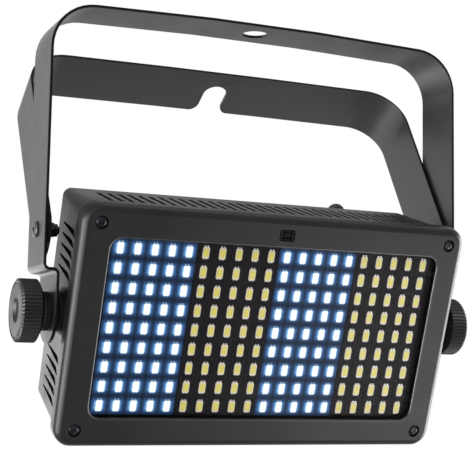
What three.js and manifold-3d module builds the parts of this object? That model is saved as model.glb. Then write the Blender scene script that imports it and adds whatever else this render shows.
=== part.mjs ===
// LED strobe panel hanging from a double bracket, in millimetres, +Z up.
// The origin is the centre of the clamp hole, on the top face of the yoke's crossbar.
// The yoke hangs straight down, the head leans face down in it, and its front faces -Y.

import * as THREE from 'three';
import { mergeVertices } from 'three/addons/utils/BufferGeometryUtils.js';
import Module from 'manifold-3d';

const wasm = await Module();
wasm.setup();

// Pose at rest, in degrees
const headTilt = 19.8;
const bracketSwing = 31;

// Clearances and cutting
const fitGap = 0.3;
const overrun = 2;
const bendSteps = 6;
const arcSteps = 4;
const roundSides = 20;
const smallSides = 12;
const screwSides = 8;

// Main yoke: a flat steel strip bent to a U, with a joggle above each clamp knob
const strapWidth = 31;
const strapThick = 1.5;
const yokeRise = 152.4;
const yokeCorner = 23;
const crownFlatHalf = 30;
const crownDrop = 2.2;
const joggleRise = 19.5;
const joggleIn = 6.6;
const joggleBend = 2.5;
const clampHoleRadius = 6.8;

// Floor bracket: the second U, which folds up inside the yoke
const bracketGap = 0.4;
const bracketPivotRise = 39.6;
const bracketRise = 107.1;
const bracketCorner = 22;
const bracketCrownDrop = 0.8;
const notchRadius = 6.8;
const notchDepth = 21;
const notchLip = 6;

// Bracket pivot fasteners
const pivotScrewRadius = 2;
const pivotHeadRadius = 4;
const pivotHeadRise = 1.3;
const pivotWasherRadius = 4.5;
const pivotWasherThick = 1;
const lockNutAcross = 7;
const lockNutLength = 5;
const pivotScrewEnd = 1.1;

// Clamp knobs and the friction joint of the head
const frictionRadius = 9.5;
const innerWasherThick = 2;
const outerWasherThick = 1.6;
const studRadius = 3;
const studEmbed = 8;
const studReach = 13;
const knobRadius = 15.5;
const knobNeckRadius = 10.5;
const knobCollarLength = 1.4;
const knobChamferLength = 2.5;
const knobGripLength = 9.3;
const knobRimRound = 0.8;
const knobTeeth = 24;
const knobToothDepth = 0.5;
const knobDishRadius = 6.3;
const knobDishDepth = 1.6;
const insertRadius = 5;
const insertLength = 12;

// Front bezel
const bezelWidth = 207.4;
const bezelHeight = 120.7;
const bezelDepth = 8.4;
const bezelCorner = 9.3;
const bezelEdgeRound = 4;
const bezelWall = 2.2;
const bezelPlate = 2.6;
const bezelFrontY = -25.5;
const frameSide = 14.45;
const frameTop = 15.85;
const openingCorner = 6;
const openingChamfer = 0.6;
const bezelScrewInsetX = 9.7;
const bezelScrewInsetZ = 8.95;
const screwRecessRadius = 3.2;
const screwRecessDepth = 1.7;
const bossRadius = 4.5;
const irWindowWidth = 7.6;
const irWindowHeight = 5;
const irWindowDepth = 4;
const irWindowCorner = 1.5;
const irWindowX = 1;
const irWindowDrop = 9.35;

// Machine screws of the head
const screwRadius = 1.5;
const screwHeadRadius = 2.7;
const screwHeadRise = 1.3;
const bezelScrewLength = 16;
const boardScrewLength = 3.6;
const boardScrewHeadRadius = 2.1;
const boardScrewHeadRise = 0.8;
const boardScrewInsetX = 2.3;
const boardScrewInsetZ = 12.5;
const panelScrewLength = 8;

// Clear window and LED board
const windowThick = 1.2;
const windowRebate = 1;
const windowLapX = 2.55;
const windowLapZ = 2.3;
const ledColumns = 20;
const ledRows = 9;
const ledBanks = 4;
const ledMarginX = 4.9;
const ledMarginZ = 2.25;
const ledWidth = 3.4;
const ledHeight = 5.7;
const ledRise = 0.6;
const ledStripThick = 0.3;
const ledBankMargin = 0.5;
const boardLapX = 2.25;
const boardLapZ = 2.5;
const ledBoardCorner = 3;
const boardThick = 1.6;

// Heat spreader behind the LED board
const spreaderThick = 2.5;
const finCount = 12;
const finMargin = 14.5;
const finThick = 1.6;
const finInset = 5;
const finDepth = 9;
const boardPostRadius = 3;
const boardPostInset = 6;
const boardPostLength = 16;

// Rear shell
const shellStepX = 1.1;
const shellStepZ = 0.95;
const shellTaperX = 4.6;
const shellTaperZ = 4.1;
const shellFrontCorner = 9;
const shellBackCorner = 4;
const shellBackRound = 1.5;
const shellBackY = 33.9;
const shellWall = 2.2;
const shellBackWall = 3;
const tongueLength = 3;
const tongueThick = 1.4;
const ventPitch = 5.4;
const ventWidth = 2.3;
const ventLength = 29;
const ventStartY = -7.6;
const topVentPairs = 16;
const sideVentRows = 5;
const sideVentWidth = 3;
const sideVentFirstZ = 21;
const sideVentDrop = 2;
const pivotBossLength = 16;
const pivotBossProud = 1;
const cornerBossLength = 18;

// Rear panel and its layout, seen from the front
const panelRecess = 1.5;
const panelThick = 1.2;
const panelMarginX = 12;
const panelMarginZ = 12.3;
const panelCorner = 3;
const panelLedgeX = 8;
const panelLedgeZ = 3;
const panelScrewInset = 4.5;
const panelBossLength = 7;
const controlPostRadius = 2.2;
const controlPostInset = 3.5;

// Mains inlet and outlet
const inletInset = 24;
const mainsSpacing = 35;
const mainsZ = -17;
const mainsFlangeWidth = 31;
const mainsFlangeHeight = 24;
const mainsFlangeThick = 2.4;
const mainsFlangeCorner = 3;
const mainsBodyWidth = 27;
const mainsBodyHeight = 19.4;
const mainsBodyDepth = 22;
const mainsCavityWidth = 24.6;
const mainsCavityHeight = 16.8;
const mainsCavityDepth = 17;
const mainsCavityCorner = 3;
const mainsPinWidth = 2;
const mainsPinHeight = 4;
const mainsPinLength = 13;
const mainsPinSpread = 7;
const mainsPinDrop = 2;
const outletCoreWidth = 21.5;
const outletCoreHeight = 13.6;

// Data sockets
const dataInset = 20;
const dataSpacing = 29;
const dataZ = -14;
const dataFlangeWidth = 26;
const dataFlangeHeight = 31;
const dataFlangeThick = 2;
const dataFlangeCorner = 3;
const dataBodyRadius = 11.2;
const dataBodyDepth = 20;
const dataCupRadius = 9.4;
const dataCupDepth = 13;
const dataPinRadius = 1.2;
const dataPinCircle = 4.3;
const dataPinLength = 10;
const dataCoreRadius = 7.6;
const latchWidth = 8;
const latchHeight = 3.4;
const latchDepth = 5;
const latchRise = 2.2;
const latchTravel = 1.2;

// Fuse holder
const fuseZ = 20;
const fuseFlangeRadius = 8.6;
const fuseFlangeThick = 2;
const fuseBodyRadius = 6.4;
const fuseBodyDepth = 22;
const fuseBoreRadius = 5.2;
const fuseCapRadius = 6.6;
const fuseCapRise = 4.4;
const fusePlugLength = 14;
const fuseSlotWidth = 1.4;
const fuseSlotDepth = 1.2;

// Display, buttons and control board
const displayX = -10;
const displayZ = 18;
const displayWidth = 40;
const displayHeight = 16;
const displayWindowThick = 1.6;
const displayWindowProud = 0.4;
const displayCorner = 1.5;
const displayModuleDepth = 5;
const displayModuleMargin = 2;
const controlBoardMargin = 8;
const controlBoardHeight = 34;
const controlBoardZ = 13;
const buttonCount = 4;
const buttonPitch = 12;
const buttonZ = 3.5;
const buttonRadius = 3.2;
const buttonProud = 1.8;
const buttonTravel = 0.8;
const buttonFlangeRadius = 4.1;
const buttonFlangeThick = 0.9;
const buttonLength = 5;
const switchSize = 6;

// Power board and what stands on it
const powerBoardInset = 22;
const powerBoardHeight = 78;
const powerBoardCorner = 2;
const transformerX = 26;
const transformerZ = 18;
const transformerWidth = 34;
const transformerHeight = 26;
const transformerDepth = 20;
const transformerBobbin = 5;
const capacitorX = -28;
const capacitorZ = 18;
const capacitorRadius = 9;
const capacitorLength = 18;

// Safety eye on the back
const eyeInset = 25;
const eyeTopRise = 0.8;
const eyeRodRadius = 1.7;
const eyeArchRadius = 3.9;
const eyeFootDrop = 7;
const eyeBendRadius = 3;
const eyeStandoff = 8.8;
const eyeSides = 8;

// Sizes that follow from the bezel's width and height
const openingWidth = bezelWidth - 2 * frameSide;
const openingHeight = bezelHeight - 2 * frameTop;
const bezelScrewX = bezelWidth / 2 - bezelScrewInsetX;
const bezelScrewZ = bezelHeight / 2 - bezelScrewInsetZ;
const irWindowZ = bezelHeight / 2 - irWindowDrop;
const windowWidth = openingWidth + 2 * windowLapX;
const windowHeight = openingHeight + 2 * windowLapZ;
const ledPitchX = (openingWidth - 2 * ledMarginX - ledWidth) / (ledColumns - 1);
const ledPitchZ = (openingHeight - 2 * ledMarginZ - ledHeight) / (ledRows - 1);
const ledBoardWidth = openingWidth + 2 * boardLapX;
const ledBoardHeight = openingHeight + 2 * boardLapZ;
const boardScrewX = ledBoardWidth / 2 - boardScrewInsetX;
const boardScrewZ = ledBoardHeight / 2 - boardScrewInsetZ;
const finHeight = ledBoardHeight - 2 * finInset;
const finPitch = (ledBoardWidth - 2 * finMargin) / (finCount - 1);
const shellFrontWidth = bezelWidth - 2 * shellStepX;
const shellFrontHeight = bezelHeight - 2 * shellStepZ;
const shellBackWidth = shellFrontWidth - 2 * shellTaperX;
const shellBackHeight = shellFrontHeight - 2 * shellTaperZ;
const powerBoardWidth = shellBackWidth - 2 * powerBoardInset;
const boardPostX = powerBoardWidth / 2 - boardPostInset;
const boardPostZ = powerBoardHeight / 2 - boardPostInset;
const controlBoardWidth = displayWidth + 2 * controlBoardMargin;
const recessHalfX = shellBackWidth / 2 - panelMarginX;
const recessHalfZ = shellBackHeight / 2 - panelMarginZ;
const panelRecessWidth = 2 * recessHalfX;
const panelRecessHeight = 2 * recessHalfZ;
const inletX = inletInset - recessHalfX;
const outletX = inletX + mainsSpacing;
const fuseX = inletX;
const dataInX = recessHalfX - dataInset;
const dataOutX = dataInX - dataSpacing;
const eyeX = recessHalfX - eyeInset;
const eyeFootZ = recessHalfZ - eyeFootDrop;
const eyeTopZ = shellBackHeight / 2 + eyeTopRise;

// The friction joint of the head, on the right, from the shell's boss outwards to the yoke
const bossFaceX = shellFrontWidth / 2 + pivotBossProud;
const innerWasherX = bossFaceX + fitGap + innerWasherThick;
const tabInnerX = innerWasherX + fitGap;
const pivotX = tabInnerX + strapThick;
const outerWasherX = pivotX + fitGap;
const knobX = outerWasherX + outerWasherThick + fitGap;
const chamferX = knobX + knobCollarLength;
const gripX = chamferX + knobChamferLength;
const knobFaceX = gripX + knobGripLength;
const yokeHalf = pivotX + joggleIn;
const bracketHalf = yokeHalf - strapThick - bracketGap;
const pivotHole = pivotScrewRadius + fitGap;

const deg = Math.PI / 180;

// Finishes, one material for each kind of surface
const finish = (color, roughness, metalness) => () => (
  new THREE.MeshStandardMaterial({ color, roughness, metalness })
);
const blackSteel = finish(0x2b2b2c, 0.55, 0.3);
const blackPlastic = finish(0x262628, 0.6, 0);
const knobPlastic = finish(0x232325, 0.7, 0);
const blackRubber = finish(0x161617, 0.85, 0);
const zincSteel = finish(0xa7a9ab, 0.35, 1);
const blackScrew = finish(0x1c1c1d, 0.4, 0.8);
const brassMetal = finish(0xb08d4a, 0.35, 1);
const aluminium = finish(0xb9bcbe, 0.4, 1);
const blackMask = finish(0x121418, 0.5, 0);
const greenMask = finish(0x1d4a2c, 0.5, 0);
const whiteLed = finish(0xf4f8ff, 0.3, 0);
const amberLed = finish(0xe8d05a, 0.35, 0);
const clearPlastic = finish(0xdfe6ea, 0.1, 0);
const darkLens = finish(0x0a0708, 0.15, 0);
const transformerTape = finish(0xcaa63c, 0.5, 0);
const capacitorSleeve = finish(0x20283c, 0.4, 0);

// Solids: closed geometry to and from the boolean library
function solidOf(geometry) {
  const bare = geometry.clone();
  bare.deleteAttribute('normal');
  bare.deleteAttribute('uv');
  const merged = mergeVertices(bare, 1e-4);
  const corners = merged.index.array;
  const kept = [];
  for (let i = 0; i < corners.length; i += 3) {
    const [a, b, c] = [corners[i], corners[i + 1], corners[i + 2]];
    if (a !== b && b !== c && c !== a) kept.push(a, b, c);
  }
  const vertProperties = Float32Array.from(merged.attributes.position.array);
  const triVerts = Uint32Array.from(kept);
  return new wasm.Manifold(new wasm.Mesh({ numProp: 3, vertProperties, triVerts }));
}

function geometryOf(solid) {
  const mesh = solid.getMesh();
  const geometry = new THREE.BufferGeometry();
  const points = new Float32Array(mesh.numVert * 3);
  for (let i = 0; i < mesh.numVert; i += 1) {
    for (let k = 0; k < 3; k += 1) points[i * 3 + k] = mesh.vertProperties[i * mesh.numProp + k];
  }
  geometry.setAttribute('position', new THREE.BufferAttribute(points, 3));
  geometry.setIndex(new THREE.BufferAttribute(Uint32Array.from(mesh.triVerts), 1));
  geometry.computeVertexNormals();
  return geometry;
}

const union = (first, ...rest) => rest.reduce((sum, next) => sum.add(next), first);
const cut = (first, ...rest) => rest.reduce((left, next) => left.subtract(next), first);

// Primitives given by their lowest and highest place along the axis they stand on
function box(x0, x1, y0, y1, z0, z1) {
  const geometry = new THREE.BoxGeometry(x1 - x0, y1 - y0, z1 - z0);
  geometry.translate((x0 + x1) / 2, (y0 + y1) / 2, (z0 + z1) / 2);
  return solidOf(geometry);
}

function rodX(radius, x0, x1, y = 0, z = 0, sides = roundSides) {
  const geometry = new THREE.CylinderGeometry(radius, radius, Math.abs(x1 - x0), sides);
  geometry.rotateZ(Math.PI / 2);
  geometry.translate((x0 + x1) / 2, y, z);
  return solidOf(geometry);
}

function rodY(radius, y0, y1, x = 0, z = 0, sides = roundSides) {
  const geometry = new THREE.CylinderGeometry(radius, radius, y1 - y0, sides);
  geometry.translate(x, (y0 + y1) / 2, z);
  return solidOf(geometry);
}

function rodZ(radius, z0, z1, x = 0, y = 0, sides = roundSides) {
  const geometry = new THREE.CylinderGeometry(radius, radius, z1 - z0, sides);
  geometry.rotateX(Math.PI / 2);
  geometry.translate(x, y, (z0 + z1) / 2);
  return solidOf(geometry);
}

// A rounded rectangle's outline, anticlockwise from its right side
function roundedOutline(width, height, corner, steps = arcSteps) {
  const points = [];
  const centreX = width / 2 - corner;
  const centreZ = height / 2 - corner;
  const quarters = [[1, 1], [-1, 1], [-1, -1], [1, -1]];
  quarters.forEach(([signX, signZ], quarter) => {
    for (let k = 0; k <= steps; k += 1) {
      const angle = (quarter + k / steps) * Math.PI / 2;
      points.push([signX * centreX + corner * Math.cos(angle), signZ * centreZ + corner * Math.sin(angle)]);
    }
  });
  return points;
}

// A solid through outlines that stand one behind another along Y
function loft(sections) {
  const count = sections[0].outline.length;
  const positions = [];
  sections.forEach(({ outline, y }) => outline.forEach(([x, z]) => positions.push(x, y, z)));
  const last = sections.length - 1;
  const faces = [];
  for (let ring = 0; ring < last; ring += 1) {
    for (let k = 0; k < count; k += 1) {
      const a = ring * count + k;
      const b = ring * count + (k + 1) % count;
      faces.push(a, a + count, b, b, a + count, b + count);
    }
  }
  const middle = (outline) => outline.reduce(([x, z], p) => [x + p[0] / count, z + p[1] / count], [0, 0]);
  [0, last].forEach((ring) => {
    const [x, z] = middle(sections[ring].outline);
    const centre = positions.length / 3;
    positions.push(x, sections[ring].y, z);
    for (let k = 0; k < count; k += 1) {
      const a = ring * count + k;
      const b = ring * count + (k + 1) % count;
      if (ring === 0) faces.push(centre, a, b);
      else faces.push(centre, b, a);
    }
  });
  const geometry = new THREE.BufferGeometry();
  geometry.setAttribute('position', new THREE.Float32BufferAttribute(positions, 3));
  geometry.setIndex(faces);
  return solidOf(geometry);
}

const slab = (width, height, corner, y0, y1, x = 0, z = 0) => {
  const outline = roundedOutline(width, height, corner).map(([px, pz]) => [px + x, pz + z]);
  return loft([{ outline, y: y0 }, { outline, y: y1 }]);
};

// A turned piece: radii and places along X, starting and ending on the axis
function turnedX(profile, sides = roundSides) {
  const geometry = new THREE.LatheGeometry(profile.map(([radius, x]) => new THREE.Vector2(radius, x)), sides);
  geometry.rotateZ(-Math.PI / 2);
  return solidOf(geometry);
}

// Nodes
function node(name, solid, material, parent) {
  const geometry = solid.isBufferGeometry ? solid : geometryOf(solid);
  const mesh = new THREE.Mesh(geometry, material());
  mesh.name = name;
  parent.add(mesh);
  return mesh;
}

const sides = [['left', -1], ['right', 1]];
const mirrored = (solid, sign) => (sign > 0 ? solid : solid.mirror([1, 0, 0]));

// The outline of a strip bent along a path of corners, each with its bend radius
function stripOutline(path, thick) {
  const toSide = [[], []];
  path.forEach(({ at, bend = 0 }, i) => {
    const before = path[Math.max(i - 1, 0)].at;
    const after = path[Math.min(i + 1, path.length - 1)].at;
    const inward = at.clone().sub(before).normalize();
    const outward = after.clone().sub(at).normalize();
    if (i === 0) inward.copy(outward);
    if (i === path.length - 1) outward.copy(inward);
    const turn = Math.atan2(inward.cross(outward), inward.dot(outward));
    const normalIn = new THREE.Vector2(-inward.y, inward.x);
    const normalOut = new THREE.Vector2(-outward.y, outward.x);
    if (bend > 0) {
      const sign = Math.sign(turn);
      const setback = bend * Math.tan(Math.abs(turn) / 2);
      const centre = at.clone().addScaledVector(inward, -setback).addScaledVector(normalIn, sign * bend);
      for (let k = 0; k <= bendSteps; k += 1) {
        const spoke = normalIn.clone().rotateAround(new THREE.Vector2(), turn * k / bendSteps);
        spoke.multiplyScalar(-sign);
        toSide[0].push(centre.clone().addScaledVector(spoke, bend - sign * thick / 2));
        toSide[1].push(centre.clone().addScaledVector(spoke, bend + sign * thick / 2));
      }
      return;
    }
    const mitre = normalIn.clone().add(normalOut).normalize();
    const reach = thick / 2 / mitre.dot(normalIn);
    toSide[0].push(at.clone().addScaledVector(mitre, reach));
    toSide[1].push(at.clone().addScaledVector(mitre, -reach));
  });
  return toSide[0].concat(toSide[1].reverse());
}

// A bent strip, its path drawn in X and Z and its width along Y
function bentStrip(path, thick, width) {
  const shape = new THREE.Shape(stripOutline(path, thick));
  const geometry = new THREE.ExtrudeGeometry(shape, { depth: width, bevelEnabled: false });
  geometry.rotateX(Math.PI / 2);
  geometry.translate(0, width / 2, 0);
  return solidOf(geometry);
}

// What rounds the end of a strip to a half circle below a pivot on its centre line
function endRounder(half, pivotZ) {
  const reach = strapWidth;
  const block = box(-half - reach, half + reach, -reach, reach, pivotZ - reach, pivotZ);
  const far = half + reach + overrun;
  return cut(block, rodX(strapWidth / 2, -far, far, 0, pivotZ, 2 * roundSides));
}

function mainYoke() {
  const mid = yokeHalf - strapThick / 2;
  const tabMid = pivotX - strapThick / 2;
  const top = -strapThick / 2;
  const joggleZ = joggleRise - yokeRise;
  const right = [
    { at: new THREE.Vector2(crownFlatHalf, top) },
    { at: new THREE.Vector2(mid, top - crownDrop), bend: yokeCorner - strapThick / 2 },
    { at: new THREE.Vector2(mid, joggleZ), bend: joggleBend },
    { at: new THREE.Vector2(tabMid, joggleZ), bend: joggleBend },
    { at: new THREE.Vector2(tabMid, -yokeRise - strapWidth / 2) },
  ];
  const left = right.map(({ at, bend }) => ({ at: new THREE.Vector2(-at.x, at.y), bend })).reverse();
  const strip = bentStrip(left.concat(right), strapThick, strapWidth);
  const farX = yokeHalf + overrun;
  return cut(
    strip,
    endRounder(yokeHalf, -yokeRise),
    rodZ(clampHoleRadius, -strapThick - overrun, overrun),
    rodX(studRadius + fitGap, -farX, farX, 0, -yokeRise, smallSides),
    rodX(pivotHole, -farX, farX, 0, bracketPivotRise - yokeRise, screwSides),
  );
}

function floorBracket() {
  const mid = bracketHalf - strapThick / 2;
  const top = bracketRise - strapThick / 2;
  const right = [
    { at: new THREE.Vector2(crownFlatHalf, top) },
    { at: new THREE.Vector2(mid, top - bracketCrownDrop), bend: bracketCorner - strapThick / 2 },
    { at: new THREE.Vector2(mid, -strapWidth / 2) },
  ];
  const left = right.map(({ at, bend }) => ({ at: new THREE.Vector2(-at.x, at.y), bend })).reverse();
  const strip = bentStrip(left.concat(right), strapThick, strapWidth);
  const farX = bracketHalf + overrun;
  const low = bracketRise - strapThick - overrun;
  const high = bracketRise + overrun;
  const rear = strapWidth / 2;
  const notchY = rear - notchDepth + notchRadius;
  const mouthHalf = notchRadius + notchLip;
  const mouth = cut(
    box(-mouthHalf, mouthHalf, rear - notchLip, rear + overrun, low, high),
    rodZ(notchLip, low - overrun, high + overrun, -mouthHalf, rear - notchLip),
    rodZ(notchLip, low - overrun, high + overrun, mouthHalf, rear - notchLip),
  );
  return cut(
    strip,
    endRounder(bracketHalf, 0),
    rodX(pivotHole, -farX, farX, 0, 0, screwSides),
    rodZ(notchRadius, low, high, 0, notchY),
    box(-notchRadius, notchRadius, notchY, rear, low, high),
    mouth,
  );
}

// Pivot screw, washer and lock nut of the floor bracket, on the right, from the outside in
const pivotHeadX = yokeHalf + fitGap;
const pivotWasherX = bracketHalf - strapThick - fitGap;
const lockNutX = pivotWasherX - pivotWasherThick - fitGap;

function pivotScrew() {
  const tip = lockNutX - lockNutLength - pivotScrewEnd;
  const dome = pivotHeadX + pivotHeadRise;
  return turnedX([
    [0, tip],
    [pivotScrewRadius, tip],
    [pivotScrewRadius, pivotHeadX],
    [pivotHeadRadius, pivotHeadX],
    [pivotHeadRadius, pivotHeadX + pivotHeadRise / 2],
    [pivotHeadRadius * 3 / 4, dome - pivotHeadRise / 10],
    [0, dome],
  ], smallSides);
}

function pivotWasher() {
  return cut(
    rodX(pivotWasherRadius, pivotWasherX - pivotWasherThick, pivotWasherX, 0, 0, smallSides),
    rodX(pivotHole, pivotWasherX - pivotWasherThick - overrun, pivotWasherX + overrun, 0, 0, screwSides),
  );
}

function lockNut() {
  const corner = lockNutAcross / Math.sqrt(3);
  return cut(
    rodX(corner, lockNutX - lockNutLength, lockNutX, 0, 0, 6),
    rodX(pivotHole, lockNutX - lockNutLength - overrun, lockNutX + overrun, 0, 0, screwSides),
  );
}

function frictionWasher(x, thick) {
  return cut(
    rodX(frictionRadius, x, x + thick),
    rodX(studRadius + fitGap, x - overrun, x + thick + overrun, 0, 0, smallSides),
  );
}

function knurledOutline(radius, depth) {
  const points = [];
  const steps = knobTeeth * 2;
  for (let k = 0; k < steps; k += 1) {
    const angle = k / steps * 2 * Math.PI;
    const r = k % 2 ? radius - depth : radius;
    points.push([r * Math.cos(angle), r * Math.sin(angle)]);
  }
  return points;
}

function clampKnob() {
  const rimX = knobFaceX - knobRimRound;
  const grip = loft([
    { outline: knurledOutline(knobNeckRadius, 0), y: chamferX },
    { outline: knurledOutline(knobRadius, knobToothDepth), y: gripX },
    { outline: knurledOutline(knobRadius, knobToothDepth), y: rimX },
    { outline: knurledOutline(knobRadius - knobRimRound, 0), y: knobFaceX },
  ]).rotate([0, 0, -90]);
  const collar = rodX(frictionRadius, knobX, chamferX + knobChamferLength / 2);
  const dish = turnedX([
    [0, knobFaceX - knobDishDepth],
    [knobDishRadius - knobDishDepth, knobFaceX - knobDishDepth],
    [knobDishRadius, knobFaceX],
    [knobDishRadius, knobFaceX + overrun],
    [0, knobFaceX + overrun],
  ]);
  const studSeat = rodX(studRadius + fitGap, knobX - overrun, knobX + studEmbed + fitGap, 0, 0, smallSides);
  return cut(union(grip, collar), dish, studSeat);
}

const knobStud = () => rodX(studRadius, bossFaceX - studReach, knobX + studEmbed, 0, 0, smallSides);

function pivotInsert() {
  const end = bossFaceX - fitGap;
  return cut(
    rodX(insertRadius, end - insertLength, end, 0, 0, smallSides),
    rodX(studRadius + fitGap, end - insertLength - overrun, end + overrun, 0, 0, smallSides),
  );
}

// Places along Y inside the head, from the front to the back
const bezelBackY = bezelFrontY + bezelDepth;
const bezelPlateY = bezelFrontY + bezelPlate;
const rebateY = bezelPlateY - windowRebate;
const windowY = rebateY + fitGap;
const ledFaceY = windowY + windowThick + fitGap;
const stripY = ledFaceY + ledRise;
const ledBoardY = stripY + ledStripThick + fitGap;
const spreaderY = ledBoardY + boardThick + fitGap;
const spreaderBackY = spreaderY + spreaderThick;
const shellFrontY = bezelBackY + fitGap;
const powerBoardY = spreaderBackY + boardPostLength + fitGap;
const panelY = shellBackY - panelThick;
const backWallY = shellBackY - shellBackWall;

const screwPlaces = (x, z) => [[x, z], [-x, z], [-x, -z], [x, -z]];
const bezelScrewPlaces = screwPlaces(bezelScrewX, bezelScrewZ);
const screwHole = screwRadius + fitGap;

function frontBezel() {
  const rings = [];
  for (let k = 0; k <= arcSteps; k += 1) {
    const angle = k / arcSteps * Math.PI / 2;
    const inset = bezelEdgeRound * (1 - Math.sin(angle));
    rings.push({
      outline: roundedOutline(bezelWidth - 2 * inset, bezelHeight - 2 * inset, bezelCorner - inset),
      y: bezelFrontY + bezelEdgeRound * (1 - Math.cos(angle)),
    });
  }
  rings.push({ outline: roundedOutline(bezelWidth, bezelHeight, bezelCorner), y: bezelBackY });
  const innerWidth = bezelWidth - 2 * bezelWall;
  const innerHeight = bezelHeight - 2 * bezelWall;
  const pocket = slab(innerWidth, innerHeight, bezelCorner - bezelWall, bezelPlateY, bezelBackY + overrun);
  const flare = 2 * openingChamfer + overrun;
  const mouthCorner = openingCorner + openingChamfer;
  const opening = loft([
    {
      outline: roundedOutline(openingWidth + flare, openingHeight + flare, mouthCorner),
      y: bezelFrontY - overrun / 2,
    },
    { outline: roundedOutline(openingWidth, openingHeight, openingCorner), y: bezelFrontY + openingChamfer },
    { outline: roundedOutline(openingWidth, openingHeight, openingCorner), y: bezelPlateY + overrun },
  ]);
  const rebateWidth = windowWidth + 2 * fitGap;
  const rebateHeight = windowHeight + 2 * fitGap;
  const rebate = slab(rebateWidth, rebateHeight, openingCorner, rebateY, bezelPlateY + overrun);
  const rods = (radius, y0, y1, count) => bezelScrewPlaces.map(([x, z]) => rodY(radius, y0, y1, x, z, count));
  const bosses = rods(bossRadius, bezelPlateY - fitGap, spreaderY - fitGap, smallSides);
  const recessEnd = bezelFrontY + screwRecessDepth;
  const recesses = rods(screwRecessRadius, bezelFrontY - overrun, recessEnd, smallSides);
  const holes = rods(screwHole, bezelFrontY, spreaderY + overrun, screwSides);
  const irHole = slab(irWindowWidth + 2 * fitGap, irWindowHeight + 2 * fitGap, irWindowCorner,
    bezelFrontY - overrun, bezelPlateY + overrun, irWindowX, irWindowZ);
  return cut(union(cut(loft(rings), pocket), ...bosses), opening, rebate, ...recesses, ...holes, irHole);
}

const clearWindow = () => slab(windowWidth, windowHeight, openingCorner, windowY, windowY + windowThick);
const irWindow = () => slab(irWindowWidth, irWindowHeight, irWindowCorner, bezelFrontY + fitGap,
  bezelFrontY + irWindowDepth, irWindowX, irWindowZ);

// A screw along Y whose head's underside lies at y
function headScrew(x, z, y, headRadius, headRise, length) {
  return union(
    rodY(headRadius, y - headRise, y, x, z, smallSides),
    rodY(screwRadius, y - headRise / 2, y + length, x, z, screwSides),
  );
}

function rearScrew(x, z, y) {
  return union(
    rodY(screwHeadRadius, y, y + screwHeadRise, x, z, smallSides),
    rodY(screwRadius, y - panelScrewLength, y + screwHeadRise / 2, x, z, screwSides),
  );
}

const boardScrewPlaces = screwPlaces(boardScrewX, boardScrewZ);
const boardScrewY = ledBoardY - fitGap;

function ledBoard() {
  const board = slab(ledBoardWidth, ledBoardHeight, ledBoardCorner, ledBoardY, ledBoardY + boardThick);
  const holes = boardScrewPlaces.map(([x, z]) => rodY(screwHole, ledBoardY - overrun, spreaderY + overrun,
    x, z, screwSides));
  return cut(board, ...holes);
}

// One bank of LED packages on its solder strip
function ledBank(bank) {
  const columns = ledColumns / ledBanks;
  const firstX = (bank * columns - (ledColumns - 1) / 2) * ledPitchX;
  const lastX = firstX + (columns - 1) * ledPitchX;
  const topZ = (ledRows - 1) / 2 * ledPitchZ;
  const halfX = ledWidth / 2 + ledBankMargin;
  const halfZ = ledHeight / 2 + ledBankMargin;
  const farZ = topZ + halfZ;
  let solid = box(firstX - halfX, lastX + halfX, stripY, stripY + ledStripThick, -farZ, farZ);
  for (let column = 0; column < columns; column += 1) {
    const x = firstX + column * ledPitchX;
    for (let row = 0; row < ledRows; row += 1) {
      const z = topZ - row * ledPitchZ;
      solid = solid.add(box(x - ledWidth / 2, x + ledWidth / 2, ledFaceY, stripY + ledStripThick / 2,
        z - ledHeight / 2, z + ledHeight / 2));
    }
  }
  return solid;
}

const boardPostPlaces = screwPlaces(boardPostX, boardPostZ);

function heatSpreader() {
  const plate = slab(ledBoardWidth, ledBoardHeight, ledBoardCorner, spreaderY, spreaderBackY);
  const ears = bezelScrewPlaces.map(([x, z]) => {
    const inX = Math.sign(x) * (Math.abs(x) - 3 * bossRadius);
    const inZ = Math.sign(z) * (Math.abs(z) - 2 * bossRadius);
    const arm = box(Math.min(x, inX), Math.max(x, inX), spreaderY, spreaderBackY,
      Math.min(z, inZ), Math.max(z, inZ));
    return union(rodY(bossRadius, spreaderY, spreaderBackY, x, z, smallSides), arm);
  });
  const fins = [];
  for (let k = 0; k < finCount; k += 1) {
    const x = (k - (finCount - 1) / 2) * finPitch;
    fins.push(box(x - finThick / 2, x + finThick / 2, spreaderBackY - fitGap, spreaderBackY + finDepth,
      -finHeight / 2, finHeight / 2));
  }
  const posts = boardPostPlaces.map(([x, z]) => rodY(boardPostRadius, spreaderBackY - fitGap,
    powerBoardY - fitGap, x, z, screwSides));
  const holesAt = (places) => places.map(([x, z]) => rodY(screwHole, spreaderY - overrun,
    spreaderBackY + overrun, x, z, screwSides));
  const earHoles = holesAt(bezelScrewPlaces);
  const boardHoles = holesAt(boardScrewPlaces);
  return cut(union(plate, ...ears, ...fins, ...posts), ...earHoles, ...boardHoles);
}

// Half the shell's outside width and height at a place along Y
const shellShare = (y) => (y - shellFrontY) / (shellBackY - shellFrontY);
const shellWidthAt = (y) => THREE.MathUtils.lerp(shellFrontWidth, shellBackWidth, shellShare(y));
const shellHeightAt = (y) => THREE.MathUtils.lerp(shellFrontHeight, shellBackHeight, shellShare(y));
const shellCornerAt = (y) => THREE.MathUtils.lerp(shellFrontCorner, shellBackCorner, shellShare(y));
const shellOutline = (y, inset) => roundedOutline(shellWidthAt(y) - 2 * inset, shellHeightAt(y) - 2 * inset,
  Math.max(shellCornerAt(y) - inset, shellBackCorner / 4));

const panelScrewPlaces = screwPlaces(recessHalfX - panelScrewInset, recessHalfZ - panelScrewInset);

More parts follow.
